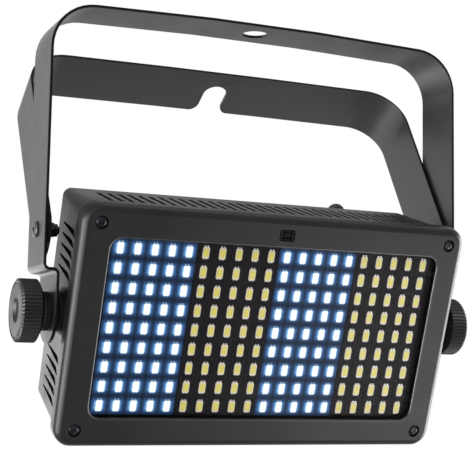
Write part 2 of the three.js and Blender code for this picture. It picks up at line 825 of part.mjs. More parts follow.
function rearShell() {
  const roundY = shellBackY - shellBackRound;
  const outer = loft([
    { outline: shellOutline(shellFrontY, 0), y: shellFrontY },
    { outline: shellOutline(roundY, 0), y: roundY },
    { outline: shellOutline(shellBackY, shellBackRound), y: shellBackY },
  ]);
  const inner = loft([
    { outline: shellOutline(shellFrontY - overrun, shellWall), y: shellFrontY - overrun },
    { outline: shellOutline(backWallY, shellWall), y: backWallY },
  ]);
  const tongueInset = bezelWall + fitGap;
  const tongueWidth = bezelWidth - 2 * tongueInset;
  const tongueHeight = bezelHeight - 2 * tongueInset;
  const tongueCorner = bezelCorner - tongueInset;
  const tongueY = shellFrontY - tongueLength;
  const tongue = cut(
    slab(tongueWidth, tongueHeight, tongueCorner, tongueY, shellFrontY + tongueThick),
    slab(tongueWidth - 2 * tongueThick, tongueHeight - 2 * tongueThick, tongueCorner - tongueThick,
      tongueY - overrun, shellFrontY + tongueThick + overrun),
  );
  const trimmedTongue = tongue.intersect(union(
    slab(tongueWidth + overrun, tongueHeight + overrun, tongueCorner, tongueY - overrun,
      shellFrontY + fitGap),
    outer,
  ));
  const opening = slab(panelRecessWidth - 2 * panelLedgeX, panelRecessHeight - 2 * panelLedgeZ, panelCorner,
    backWallY - overrun, shellBackY + overrun);
  const recess = slab(panelRecessWidth, panelRecessHeight, panelCorner, shellBackY - panelRecess,
    shellBackY + overrun);
  const bossY = spreaderBackY + fitGap;
  const bossWeb = shellWall;
  const cornerBosses = bezelScrewPlaces.map(([x, z]) => {
    const outX = Math.sign(x) * (Math.abs(x) + bossRadius + bossWeb);
    const outZ = Math.sign(z) * (Math.abs(z) + bossRadius + bossWeb);
    const web = box(Math.min(x, outX), Math.max(x, outX), bossY, bossY + cornerBossLength,
      Math.min(z, outZ), Math.max(z, outZ));
    return union(rodY(bossRadius, bossY, bossY + cornerBossLength, x, z, smallSides), web).intersect(outer);
  });
  const cornerHoles = bezelScrewPlaces.map(([x, z]) => rodY(screwHole, bossY - overrun,
    bossY + cornerBossLength - overrun, x, z, screwSides));
  const panelBosses = panelScrewPlaces.map(([x, z]) => rodY(bossRadius, backWallY - panelBossLength,
    backWallY + fitGap, x, z, smallSides));
  const panelHoles = panelScrewPlaces.map(([x, z]) => rodY(screwHole, backWallY - panelBossLength + fitGap,
    shellBackY + overrun, x, z, screwSides));
  const pivotBosses = sides.map(([, sign]) => rodX(frictionRadius, sign * (bossFaceX - pivotBossLength),
    sign * bossFaceX));
  const pivotHoles = sides.map(([, sign]) => rodX(insertRadius + fitGap,
    sign * (bossFaceX - pivotBossLength - overrun), sign * (bossFaceX + overrun), 0, 0, smallSides));
  const body = union(cut(outer, inner), trimmedTongue, ...cornerBosses, ...panelBosses, ...pivotBosses);
  return cut(body, opening, recess, ...ventCutters(), ...cornerHoles, ...panelHoles, ...pivotHoles);
}

// Slots through the top, bottom and side walls
function ventCutters() {
  const y0 = ventStartY;
  const y1 = ventStartY + ventLength;
  const deepX = shellBackWidth / 2 - shellWall - overrun;
  const deepZ = shellBackHeight / 2 - shellWall - overrun;
  const farX = shellFrontWidth / 2 + overrun;
  const farZ = shellFrontHeight / 2 + overrun;
  const cutters = [];
  for (let k = 0; k < 2 * topVentPairs; k += 1) {
    const x = (k - topVentPairs + 1 / 2) * ventPitch;
    cutters.push(box(x - ventWidth / 2, x + ventWidth / 2, y0, y1, deepZ, farZ));
    cutters.push(box(x - ventWidth / 2, x + ventWidth / 2, y0, y1, -farZ, -deepZ));
  }
  for (let k = 0; k < sideVentRows; k += 1) {
    for (const way of [-1, 1]) {
      const z = way * (sideVentFirstZ + k * ventPitch) - sideVentDrop;
      cutters.push(box(deepX, farX, y0, y1, z - sideVentWidth / 2, z + sideVentWidth / 2));
      cutters.push(box(-farX, -deepX, y0, y1, z - sideVentWidth / 2, z + sideVentWidth / 2));
    }
  }
  return cutters;
}

// Control board, display and buttons stand behind the rear panel
const displayWindowY = shellBackY + displayWindowProud;
const displayModuleY = displayWindowY - displayWindowThick - fitGap;
const controlBoardFaceY = displayModuleY - displayModuleDepth - fitGap;
const controlPostX = controlBoardWidth / 2 - controlPostInset;
const controlPostZ = controlBoardHeight / 2 - controlPostInset;
const controlPostPlaces = screwPlaces(controlPostX, controlPostZ).map(
  ([x, z]) => [x + displayX, z + controlBoardZ],
);
const firstButtonX = displayX - (buttonCount - 1) / 2 * buttonPitch;
const buttonPlaces = Array.from({ length: buttonCount }, (_, k) => firstButtonX + k * buttonPitch);
const buttonEndY = shellBackY + buttonProud;
const buttonFlangeY = panelY - fitGap - buttonFlangeThick;

const eyePlaces = [eyeX - eyeArchRadius, eyeX + eyeArchRadius];

function rearPanel() {
  const plate = slab(panelRecessWidth - 2 * fitGap, panelRecessHeight - 2 * fitGap, panelCorner - fitGap,
    panelY, shellBackY);
  const y0 = panelY - overrun;
  const y1 = shellBackY + overrun;
  const mains = [inletX, outletX].map((x) => slab(mainsBodyWidth + 2 * fitGap, mainsBodyHeight + 2 * fitGap,
    mainsCavityCorner, y0, y1, x, mainsZ));
  const data = [dataInX, dataOutX].map((x) => rodY(dataBodyRadius + fitGap, y0, y1, x, dataZ));
  const fuse = rodY(fuseBodyRadius + fitGap, y0, y1, fuseX, fuseZ);
  const display = slab(displayWidth + 2 * fitGap, displayHeight + 2 * fitGap, displayCorner, y0, y1,
    displayX, displayZ);
  const buttons = buttonPlaces.map((x) => rodY(buttonRadius + fitGap, y0, y1, x, buttonZ, smallSides));
  const screws = panelScrewPlaces.map(([x, z]) => rodY(screwHole, y0, y1, x, z, screwSides));
  const eyes = eyePlaces.map((x) => rodY(eyeRodRadius + fitGap, y0, y1, x, eyeFootZ, screwSides));
  const latch = latchSlot(y0, y1);
  const posts = controlPostPlaces.map(([x, z]) => rodY(controlPostRadius, controlBoardFaceY + fitGap,
    panelY + fitGap, x, z, screwSides));
  return union(cut(plate, ...mains, ...data, latch, fuse, display, ...buttons, ...screws, ...eyes), ...posts);
}

function controlBoard() {
  const y1 = controlBoardFaceY;
  const board = slab(controlBoardWidth, controlBoardHeight, displayCorner, y1 - boardThick, y1,
    displayX, controlBoardZ);
  const switchTop = buttonEndY - buttonProud - buttonLength - buttonTravel - fitGap;
  const switches = buttonPlaces.map((x) => box(x - switchSize / 2, x + switchSize / 2, y1 - fitGap, switchTop,
    buttonZ - switchSize / 2, buttonZ + switchSize / 2));
  return union(board, ...switches);
}

const displayModule = () => slab(
  displayWidth + 2 * displayModuleMargin, displayHeight + 2 * displayModuleMargin, displayCorner,
  controlBoardFaceY + fitGap, displayModuleY - fitGap, displayX, displayZ,
);
const displayWindow = () => slab(displayWidth, displayHeight, displayCorner,
  displayWindowY - displayWindowThick, displayWindowY, displayX, displayZ);

function menuButton(x) {
  return union(
    rodY(buttonRadius, shellBackY - buttonLength, buttonEndY, x, buttonZ, smallSides),
    rodY(buttonFlangeRadius, buttonFlangeY, buttonFlangeY + buttonFlangeThick, x, buttonZ, smallSides),
  );
}

// Mains connectors: a flange on the panel and a body through it
const flangeY = shellBackY + fitGap;
const mainsFaceY = flangeY + mainsFlangeThick;

function mainsShell(x) {
  const body = union(
    slab(mainsFlangeWidth, mainsFlangeHeight, mainsFlangeCorner, flangeY, mainsFaceY, x, mainsZ),
    slab(mainsBodyWidth, mainsBodyHeight, mainsCavityCorner, flangeY - mainsBodyDepth, flangeY + fitGap,
      x, mainsZ),
  );
  return cut(body, slab(mainsCavityWidth, mainsCavityHeight, mainsCavityCorner, mainsFaceY - mainsCavityDepth,
    mainsFaceY + overrun, x, mainsZ));
}

const mainsPinPlaces = [[-mainsPinSpread, mainsPinDrop], [0, -mainsPinDrop], [mainsPinSpread, mainsPinDrop]];
const mainsPin = (x, z, y0, y1, slack) => {
  const halfX = mainsPinWidth / 2 + slack;
  const halfZ = mainsPinHeight / 2 + slack;
  return box(x - halfX, x + halfX, y0, y1, z - halfZ, z + halfZ);
};

function powerInlet() {
  const floorY = mainsFaceY - mainsCavityDepth;
  const pins = mainsPinPlaces.map(([x, z]) => mainsPin(inletX + x, mainsZ + z, floorY - fitGap,
    floorY + mainsPinLength, 0));
  return union(mainsShell(inletX), ...pins);
}

function powerOutlet() {
  const floorY = mainsFaceY - mainsCavityDepth;
  const core = slab(outletCoreWidth, outletCoreHeight, mainsCavityCorner, floorY - fitGap,
    mainsFaceY - fitGap, outletX, mainsZ);
  const slots = mainsPinPlaces.map(([x, z]) => mainsPin(outletX + x, mainsZ + z, mainsFaceY - mainsPinLength,
    mainsFaceY + overrun, fitGap));
  return cut(union(mainsShell(outletX), core), ...slots);
}

// Three-pole data sockets: pins in a cup, and a core with holes and a latch
const dataFaceY = flangeY + dataFlangeThick;
const dataPinPlaces = [0, 1, 2].map((k) => {
  const angle = (k + 1 / 2) * Math.PI / 2 + Math.PI / 4;
  return [dataPinCircle * Math.cos(angle), dataPinCircle * Math.sin(angle)];
});

function dataShell(x) {
  const body = union(
    slab(dataFlangeWidth, dataFlangeHeight, dataFlangeCorner, flangeY, dataFaceY, x, dataZ),
    rodY(dataBodyRadius, flangeY - dataBodyDepth, flangeY + fitGap, x, dataZ),
  );
  return cut(body, rodY(dataCupRadius, dataFaceY - dataCupDepth, dataFaceY + overrun, x, dataZ));
}

function dataInput() {
  const floorY = dataFaceY - dataCupDepth;
  const pins = dataPinPlaces.map(([x, z]) => rodY(dataPinRadius, floorY - fitGap, floorY + dataPinLength,
    dataInX + x, dataZ + z, screwSides));
  return union(dataShell(dataInX), ...pins);
}

const latchZ = dataZ + dataCupRadius;
const latchTopY = dataFaceY + latchRise;
const latchSlot = (y0, y1) => {
  const half = latchWidth / 2 + fitGap;
  return box(dataOutX - half, dataOutX + half, y0, y1, latchZ - fitGap, latchZ + latchHeight + fitGap);
};

function dataOutput() {
  const floorY = dataFaceY - dataCupDepth;
  const core = rodY(dataCoreRadius, floorY - fitGap, dataFaceY - fitGap, dataOutX, dataZ);
  const holes = dataPinPlaces.map(([x, z]) => rodY(dataPinRadius + fitGap, dataFaceY - dataPinLength,
    dataFaceY + overrun, dataOutX - x, dataZ + z, screwSides));
  const slot = latchSlot(dataFaceY - latchDepth - latchTravel - fitGap, dataFaceY + overrun);
  return cut(union(dataShell(dataOutX), core), ...holes, slot);
}

const dataLatch = () => box(dataOutX - latchWidth / 2, dataOutX + latchWidth / 2,
  dataFaceY - latchDepth, latchTopY, latchZ, latchZ + latchHeight);

// Fuse holder with its bayonet cap
function fuseHolder() {
  const body = union(
    rodY(fuseFlangeRadius, flangeY, flangeY + fuseFlangeThick, fuseX, fuseZ),
    rodY(fuseBodyRadius, flangeY - fuseBodyDepth, flangeY + fitGap, fuseX, fuseZ),
  );
  const boreEnd = flangeY + fuseFlangeThick + overrun;
  return cut(body, rodY(fuseBoreRadius, flangeY - fusePlugLength, boreEnd, fuseX, fuseZ));
}

function fuseCap() {
  const seatY = flangeY + fuseFlangeThick + fitGap;
  const topY = seatY + fuseCapRise;
  const plugY = flangeY - fusePlugLength + fitGap;
  const cap = union(
    rodY(fuseCapRadius, seatY, topY, fuseX, fuseZ),
    rodY(fuseBoreRadius - fitGap, plugY, seatY + fitGap, fuseX, fuseZ),
  );
  const reach = fuseCapRadius + overrun;
  return cut(cap, box(fuseX - reach, fuseX + reach, topY - fuseSlotDepth, topY + overrun,
    fuseZ - fuseSlotWidth / 2, fuseZ + fuseSlotWidth / 2));
}

// Power board and its tall components
function powerBoard() {
  return slab(powerBoardWidth, powerBoardHeight, powerBoardCorner, powerBoardY, powerBoardY + boardThick);
}

const componentY = powerBoardY + boardThick + fitGap;

function transformer() {
  const y1 = componentY + transformerDepth;
  const halfX = transformerWidth / 2;
  const halfZ = transformerHeight / 2;
  const core = box(transformerX - halfX, transformerX + halfX, componentY, y1,
    transformerZ - halfZ + transformerBobbin, transformerZ + halfZ - transformerBobbin);
  const bobbin = box(transformerX - halfX + transformerBobbin, transformerX + halfX - transformerBobbin,
    componentY, y1 - transformerBobbin / 2, transformerZ - halfZ, transformerZ + halfZ);
  return union(core, bobbin);
}

const capacitor = () => rodY(capacitorRadius, componentY, componentY + capacitorLength,
  capacitorX, capacitorZ);

// A rod bent to an eye: two feet into the panel, two legs and an arch
function safetyEye() {
  const standY = shellBackY + eyeStandoff;
  const archZ = eyeTopZ - eyeRodRadius - eyeArchRadius;
  const points = [];
  const footSteps = arcSteps / 2;
  const foot = (x) => {
    const half = [new THREE.Vector3(x, panelY, eyeFootZ)];
    for (let k = 0; k <= footSteps; k += 1) {
      const angle = k / footSteps * Math.PI / 2;
      half.push(new THREE.Vector3(x, standY - eyeBendRadius * (1 - Math.sin(angle)),
        eyeFootZ + eyeBendRadius * (1 - Math.cos(angle))));
    }
    return half;
  };
  points.push(...foot(eyePlaces[0]));
  for (let k = 0; k <= 2 * arcSteps; k += 1) {
    const angle = Math.PI - k / (2 * arcSteps) * Math.PI;
    points.push(new THREE.Vector3(eyeX + eyeArchRadius * Math.cos(angle), standY,
      archZ + eyeArchRadius * Math.sin(angle)));
  }
  points.push(...foot(eyePlaces[1]).reverse());
  const path = new THREE.CurvePath();
  for (let k = 1; k < points.length; k += 1) path.add(new THREE.LineCurve3(points[k - 1], points[k]));
  const section = new THREE.Shape();
  section.absarc(0, 0, eyeRodRadius, 0, 2 * Math.PI);
  const geometry = new THREE.ExtrudeGeometry(section, {
    extrudePath: new THREE.CatmullRomCurve3(points, false, 'chordal'),
    steps: Math.round(3 * points.length / 2),
    curveSegments: eyeSides / 2,
    bevelEnabled: false,
  });
  return solidOf(geometry);
}

// The assembly: the yoke, the bracket that swings in it and the head that tilts in it
const assembly = new THREE.Group();
const yokeGroup = new THREE.Group();
assembly.add(yokeGroup);
node('main_yoke', mainYoke(), blackSteel, yokeGroup);

const pivotGroup = new THREE.Group();
pivotGroup.position.z = bracketPivotRise - yokeRise;
yokeGroup.add(pivotGroup);
const bracketGroup = new THREE.Group();
bracketGroup.position.z = bracketPivotRise - yokeRise;
bracketGroup.rotation.x = -bracketSwing * deg;
yokeGroup.add(bracketGroup);
node('floor_bracket', floorBracket(), blackSteel, bracketGroup);

const headGroup = new THREE.Group();
headGroup.position.z = -yokeRise;
headGroup.rotation.x = headTilt * deg;
yokeGroup.add(headGroup);
const axleGroup = new THREE.Group();
axleGroup.position.z = -yokeRise;
yokeGroup.add(axleGroup);

for (const [side, sign] of sides) {
  node(`bracket_screw_${side}`, mirrored(pivotScrew(), sign), blackScrew, pivotGroup);
  node(`bracket_washer_${side}`, mirrored(pivotWasher(), sign), blackScrew, pivotGroup);
  node(`bracket_lock_nut_${side}`, mirrored(lockNut(), sign), blackScrew, pivotGroup);
  const innerWasher = frictionWasher(innerWasherX - innerWasherThick, innerWasherThick);
  const outerWasher = frictionWasher(outerWasherX, outerWasherThick);
  node(`inner_friction_washer_${side}`, mirrored(innerWasher, sign), blackRubber, headGroup);
  node(`outer_friction_washer_${side}`, mirrored(outerWasher, sign), blackRubber, axleGroup);
  node(`clamp_knob_${side}`, mirrored(clampKnob(), sign), knobPlastic, headGroup);
  node(`knob_stud_${side}`, mirrored(knobStud(), sign), zincSteel, headGroup);
  node(`pivot_insert_${side}`, mirrored(pivotInsert(), sign), brassMetal, headGroup);
}

node('front_bezel', frontBezel(), blackPlastic, headGroup);
node('clear_window', clearWindow(), clearPlastic, headGroup);
node('led_board', ledBoard(), blackMask, headGroup);
['white_left', 'amber_left', 'white_right', 'amber_right'].forEach((name, bank) => {
  node(`led_bank_${name}`, ledBank(bank), bank % 2 ? amberLed : whiteLed, headGroup);
});
boardScrewPlaces.forEach(([x, z], k) => node(`board_screw_${k + 1}`,
  headScrew(x, z, boardScrewY, boardScrewHeadRadius, boardScrewHeadRise, boardScrewLength),
  blackScrew, headGroup));
node('heat_spreader', heatSpreader(), aluminium, headGroup);
const bezelScrewY = bezelFrontY + screwRecessDepth - fitGap;
bezelScrewPlaces.forEach(([x, z], k) => node(`bezel_screw_${k + 1}`,
  headScrew(x, z, bezelScrewY, screwHeadRadius, screwHeadRise, bezelScrewLength), blackScrew, headGroup));
node('ir_window', irWindow(), darkLens, headGroup);
node('rear_shell', rearShell(), blackPlastic, headGroup);
node('rear_panel', rearPanel(), blackSteel, headGroup);
panelScrewPlaces.forEach(([x, z], k) => node(`panel_screw_${k + 1}`,
  rearScrew(x, z, shellBackY + fitGap), blackScrew, headGroup));
node('power_board', powerBoard(), greenMask, headGroup);
node('transformer', transformer(), transformerTape, headGroup);
node('capacitor', capacitor(), capacitorSleeve, headGroup);
node('control_board', controlBoard(), greenMask, headGroup);
node('display_module', displayModule(), blackPlastic, headGroup);
node('display_window', displayWindow(), darkLens, headGroup);
buttonPlaces.forEach((x, k) => node(`menu_button_${k + 1}`, menuButton(x), knobPlastic, headGroup));
node('power_inlet', powerInlet(), blackPlastic, headGroup);
node('power_outlet', powerOutlet(), blackPlastic, headGroup);
node('fuse_holder', fuseHolder(), blackPlastic, headGroup);
node('fuse_cap', fuseCap(), blackPlastic, headGroup);
node('data_input', dataInput(), blackSteel, headGroup);
node('data_output', dataOutput(), blackSteel, headGroup);
node('data_latch', dataLatch(), zincSteel, headGroup);
node('safety_eye', safetyEye(), blackSteel, headGroup);

export default assembly;
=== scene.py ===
"""Looks of an LED strobe panel that hangs in a double bracket between two clamp knobs.

Every piece is modelled in millimetres, in the frame of its own sub-assembly, and then
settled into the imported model's frame, which is in metres.
"""

import logging
import math
from contextlib import contextmanager
from dataclasses import dataclass
from enum import Enum
from typing import Any, Callable, Dict, Iterator, List, Optional, Sequence, Tuple

import bmesh
import bpy
from mathutils import Matrix, Vector


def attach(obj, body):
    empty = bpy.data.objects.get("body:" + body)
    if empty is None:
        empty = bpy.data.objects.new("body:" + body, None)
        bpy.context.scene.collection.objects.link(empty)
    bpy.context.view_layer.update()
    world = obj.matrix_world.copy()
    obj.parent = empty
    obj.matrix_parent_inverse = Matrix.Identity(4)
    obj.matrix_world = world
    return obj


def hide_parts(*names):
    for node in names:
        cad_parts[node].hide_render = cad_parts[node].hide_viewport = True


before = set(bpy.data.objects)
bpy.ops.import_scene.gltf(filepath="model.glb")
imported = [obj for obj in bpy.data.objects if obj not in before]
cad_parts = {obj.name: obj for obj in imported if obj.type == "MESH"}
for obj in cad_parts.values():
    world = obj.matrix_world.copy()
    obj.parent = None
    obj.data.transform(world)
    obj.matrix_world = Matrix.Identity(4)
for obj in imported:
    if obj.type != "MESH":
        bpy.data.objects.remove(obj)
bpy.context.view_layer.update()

LOG = logging.getLogger("strobe")

Point = Tuple[float, float, float]
Pair = Tuple[float, float]
Inputs = Dict[Any, Any]
Finish = bpy.types.Material

MM = 0.001
# How far a cutter reaches past what it cuts.
OVERRUN = 2.0
# How deep welded pieces sit in each other.
BITE = 0.3
# Places that lie nearer than this count as one.
NEAR = 1e-3
# How much each finer layer of a noise pattern keeps of the one before.
NOISE_FALL = 0.55


class Axis(Enum):
    """The axis that a round piece stands on."""

    X = 0
    Y = 1
    Z = 2


class Side(Enum):
    """The two sides of the head, as the sign of X."""

    LEFT = -1
    RIGHT = 1

    @property
    def word(self) -> str:
        """The side's name in node names."""
        return self.name.lower()


# Places.


@dataclass(frozen=True)
class Place:
    """The frame of a sub-assembly at rest: how high it sits and how far it leans."""

    height: float
    lean: float = 0.0

    def matrix(self) -> Matrix:
        """The matrix from this frame's millimetres to the object's metres.

        Returns:
            The matrix.
        """
        turn = Matrix.Rotation(math.radians(self.lean), 4, "X")
        lift = Matrix.Translation((0.0, 0.0, self.height))
        return Matrix.Scale(MM, 4) @ lift @ turn

    def mapping(self) -> Dict[str, Any]:
        """Settings of a Mapping node that turns Object coordinates into this frame's mm.

        Returns:
            The settings by name.
        """
        angle = -math.radians(self.lean)
        shift = Matrix.Rotation(angle, 3, "X") @ Vector((0.0, 0.0, -self.height))
        scale = 1.0 / MM
        return {"Location": shift, "Rotation": (angle, 0.0, 0.0), "Scale": (scale, scale, scale)}


YOKE = Place(0.0)
AXLE = Place(-152.4)
HEAD = Place(-152.4, 19.8)
PIVOT = Place(-112.8)
BRACKET = Place(-112.8, -31.0)

# What two pieces share on the head: places in X and Z, and the screws' holes.
BEZEL_SCREWS: Pair = (94.0, 51.4)
BOARD_SCREWS: Pair = (89.2, 34.5)
PANEL_SCREWS: Pair = (81.5, 38.5)
SCREW_HOLE = 1.8
RECEIVER: Pair = (1.0, 51.0)
INLET: Pair = (-62.0, -17.0)
OUTLET: Pair = (-27.0, -17.0)
DATA_INPUT: Pair = (66.0, -14.0)
DATA_OUTPUT: Pair = (37.0, -14.0)
FUSE: Pair = (-62.0, 20.0)
DISPLAY: Pair = (-10.0, 18.0)
BUTTONS: Tuple[Pair, ...] = ((-28.0, 3.5), (-16.0, 3.5), (-4.0, 3.5), (8.0, 3.5))
EYE_X = 61.0
EYE_ARCH = 3.9
EYE_FOOT_Z = 36.0


# Modelling.


def clear_selection() -> None:
    """Deselect every object, so that an operator acts only on what is picked next."""
    bpy.ops.object.select_all(action="DESELECT")


def make_active(obj: bpy.types.Object) -> None:
    """Select one object alone and make it the active one.

    Args:
        obj: The object to work on.
    """
    clear_selection()
    obj.select_set(True)
    bpy.context.view_layer.objects.active = obj


class Piece:
    """One mesh while it is being modelled, in millimetres, in its sub-assembly's frame."""

    def __init__(self, name: str, obj: bpy.types.Object) -> None:
        """Take an object over.

        Args:
            name: Its new name.
            obj: The object.
        """
        self.name = name
        self.obj = obj
        obj.name = name
        self.bake_place()

    def bake_place(self) -> None:
        """Move the object's place, turn and size into its mesh."""
        make_active(self.obj)
        bpy.ops.object.transform_apply(location=True, rotation=True, scale=True)

    @contextmanager
    def shaping(self, mode: str, wanted: Optional[Callable[..., bool]] = None) -> Iterator[None]:
        """Edit mode on this piece alone, with a part of it selected.

        Args:
            mode: What is selected: VERT, EDGE or FACE.
            wanted: Says of a vertex's place, an edge's two ends, or a face's centre and
                normal whether it is selected. Without it everything is.

        Yields:
            Nothing. The edit mode ends with the block.
        """
        make_active(self.obj)
        bpy.ops.object.mode_set(mode="EDIT")
        bpy.ops.mesh.select_mode(type=mode)
        bpy.ops.mesh.select_all(action="DESELECT" if wanted else "SELECT")
        if wanted:
            mesh = bmesh.from_edit_mesh(self.obj.data)
            mesh.normal_update()
            if mode == "FACE":
                for face in mesh.faces:
                    face.select_set(wanted(face.calc_center_median(), face.normal))
            elif mode == "EDGE":
                for edge in mesh.edges:
                    edge.select_set(wanted(edge.verts[0].co, edge.verts[1].co))
            else:
                for point in mesh.verts:
                    point.select_set(wanted(point.co))
                mesh.select_flush_mode()
            bmesh.update_edit_mesh(self.obj.data)
        yield
        bpy.ops.object.mode_set(mode="OBJECT")

    def boolean(self, other: "Piece", operation: str) -> "Piece":
        """Join or cut this piece with another, which is used up.

        Args:
            other: The second piece.
            operation: DIFFERENCE, UNION or INTERSECT.

        Returns:
            This piece.
        """
        self.apply("BOOLEAN", operation=operation, solver="EXACT", object=other.obj)
        bpy.data.objects.remove(other.obj)
        return self

    def cut(self, *cutters: "Piece") -> "Piece":
        """Cut other pieces out of this one, one after another.

        Args:
            cutters: The other pieces, which are used up.

        Returns:
            This piece.
        """
        for cutter in cutters:
            self.boolean(cutter, "DIFFERENCE")
        return self

    def weld(self, *others: "Piece") -> "Piece":
        """Join other pieces to this one in one closed body.

        Args:
            others: The other pieces, which are used up.

        Returns:
            This piece.
        """
        for other in others:
            self.boolean(other, "UNION")
        return self

    def gather(self, *others: "Piece") -> "Piece":
        """Put other pieces into this one's mesh as they are, side by side.

        Args:
            others: The other pieces, which are used up.

        Returns:
            This piece.
        """
        make_active(self.obj)
        for other in others:
            other.obj.select_set(True)
        bpy.ops.object.join()
        return self

    def apply(self, kind: str, **settings: Any) -> "Piece":
        """Add a modifier to this piece and apply it.

        Args:
            kind: The modifier's type.
            settings: Its properties.

        Returns:
            This piece.
        """
        modifier = self.obj.modifiers.new(kind.lower(), kind)
        for key, value in settings.items():
            setattr(modifier, key, value)
        make_active(self.obj)
        bpy.ops.object.modifier_apply(modifier=modifier.name)
        return self

    def array(self, count: int, step: Point) -> "Piece":
        """Repeat the piece in a row.

        Args:
            count: How many there are in all.
            step: From one to the next.

        Returns:
            This piece.
        """
        return self.apply(
            "ARRAY",
            count=count,
            use_relative_offset=False,
            use_constant_offset=True,
            constant_offset_displace=step,
        )

    def mirror(self) -> "Piece":
        """Add the piece's mirror image across X.

        Returns:
            This piece.
        """
        across = (True, False, False)
        self.apply("MIRROR", use_axis=across, use_mirror_merge=True, merge_threshold=0.001)
        return self.mend()

    def flip(self) -> "Piece":
        """Turn the piece into its own mirror image across X.

        Returns:
            This piece.
        """
        self.obj.scale = (-1.0, 1.0, 1.0)
        self.bake_place()
        return self.mend()

    def round_off(self, width: float, steps: int = 2, angle: float = 60.0) -> "Piece":
        """Round the piece's sharp edges.

        Args:
            width: How far the round reaches from each edge.
            steps: How many facets the round has.
            angle: Edges that turn by more than this, in degrees, are rounded.

        Returns:
            This piece.
        """
        return self.apply(
            "BEVEL",
            width=width,
            segments=steps,
            limit_method="ANGLE",
            angle_limit=math.radians(angle),
            use_clamp_overlap=True,
            miter_outer="MITER_ARC",
        )

    def bevel_edges(
        self, wanted: Callable[[Vector, Vector], bool], width: float, steps: int
    ) -> "Piece":
        """Round chosen edges.

        Args:
            wanted: Says of an edge's two ends whether it is rounded.
            width: How far the round reaches from each edge.
            steps: How many facets the round has.

        Returns:
            This piece.
        """
        with self.shaping("EDGE", wanted):
            bpy.ops.mesh.bevel(offset=width, segments=steps, affect="EDGES", profile=0.5)
        return self

    def mend(self) -> "Piece":
        """Merge doubles and turn every face outwards.

        Returns:
            This piece.
        """
        with self.shaping("FACE"):
            bpy.ops.mesh.remove_doubles(threshold=0.0005)
            bpy.ops.mesh.normals_make_consistent(inside=False)
        return self

    def copy(self, name: str) -> "Piece":
        """A second piece with a mesh of its own.

        Args:
            name: The copy's name.

        Returns:
            The copy.
        """
        make_active(self.obj)
        bpy.ops.object.duplicate(linked=False)
        return Piece(name, bpy.context.active_object)

    def shift(self, offset: Point) -> "Piece":
        """Move the piece within its frame.

        Args:
            offset: How far, on the three axes.

        Returns:
            This piece.
        """
        self.obj.location = offset
        self.bake_place()
        return self

    def turn(self, axis: Axis, degrees: float) -> "Piece":
        """Turn the piece about an axis through its frame's origin.

        Args:
            axis: The axis.
            degrees: How far.

        Returns:
            This piece.
        """
        rotation = [0.0, 0.0, 0.0]
        rotation[axis.value] = math.radians(degrees)
        self.obj.rotation_euler = rotation
        self.bake_place()
        return self

    def smooth(self, angle: float = 35.0) -> "Piece":
        """Shade rounds smooth, and keep flats flat.

        Args:
            angle: Edges that turn by more than this, in degrees, stay sharp.

        Returns:
            This piece.
        """
        make_active(self.obj)
        bpy.ops.object.shade_smooth_by_angle(angle=math.radians(angle))
        return self.apply("WEIGHTED_NORMAL", mode="FACE_AREA", weight=60, keep_sharp=True)

    def dress(
        self,
        finishes: Sequence[Finish],
        choose: Optional[Callable[[Vector, Vector], int]] = None,
    ) -> "Piece":
        """Give the piece its finishes.

        Args:
            finishes: One material, or several that the chooser picks from.
            choose: Says of a face's centre and normal which finish it has.

        Returns:
            This piece.
        """
        mesh = self.obj.data
        mesh.materials.clear()
        for finish in finishes:
            mesh.materials.append(finish)
        for face in mesh.polygons:
            face.material_index = choose(face.center, face.normal) if choose else 0
        return self

    def settle(self, place: Place, body: str, slot: str, *nodes: str) -> bpy.types.Object:
        """Args:
            place: The frame that the piece was modelled in.
            body: The moving body that it rides on.
            slot: The record's material slot of its finish.
            nodes: The CAD nodes that it stands for.

        Returns:
            The finished object, at the origin.
        """
        self.obj.matrix_world = place.matrix()
        self.bake_place()
        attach(self.obj, body)
        if nodes:
            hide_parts(*nodes)
        LOG.info("%s rides on %s, %d faces", self.name, body, len(self.obj.data.polygons))
        return self.obj


def block(name: str, low: Point, high: Point) -> Piece:
    """A block between two corners, to be shaped further.

    Args:
        name: The piece's name.
        low: Its lowest corner.
        high: Its highest corner.

    Returns:
        The piece.
    """
    clear_selection()
    middle = [(a + b) / 2 for a, b in zip(low, high)]
    bpy.ops.mesh.primitive_cube_add(size=1.0, location=middle)
    obj = bpy.context.active_object
    obj.scale = [b - a for a, b in zip(low, high)]
    return Piece(name, obj)


def rod(
    name: str,
    axis: Axis,
    radius: float,
    span: Pair,
    across: Pair = (0.0, 0.0),
    sides: int = 40,
    end_radius: Optional[float] = None,
) -> Piece:
    """A round rod or cone along an axis.

    Args:
        name: The piece's name.
        axis: The axis that it stands on.
        radius: Its radius at its low end.
        span: Where it starts and ends along the axis.
        across: Its place on the other two axes, in the order X, Y, Z.
        sides: How many sides the round has.
        end_radius: Its radius at its high end, if it is a cone.

    Returns:
        The piece.
    """
    clear_selection()
    centre = list(across)
    centre.insert(axis.value, sum(span) / 2)
    turns = {
        Axis.X: (0.0, math.pi / 2, 0.0),
        Axis.Y: (-math.pi / 2, 0.0, 0.0),
        Axis.Z: (0.0, 0.0, 0.0),
    }
    bpy.ops.mesh.primitive_cone_add(
        vertices=sides,
        radius1=radius,
        radius2=radius if end_radius is None else end_radius,
        depth=span[1] - span[0],
        location=centre,
        rotation=turns[axis],
    )
    return Piece(name, bpy.context.active_object)


@dataclass(frozen=True)
class Section:
    """A rounded rectangle across Y, for a slab or a loft."""

    width: float
    height: float
    corner: float
    y: float


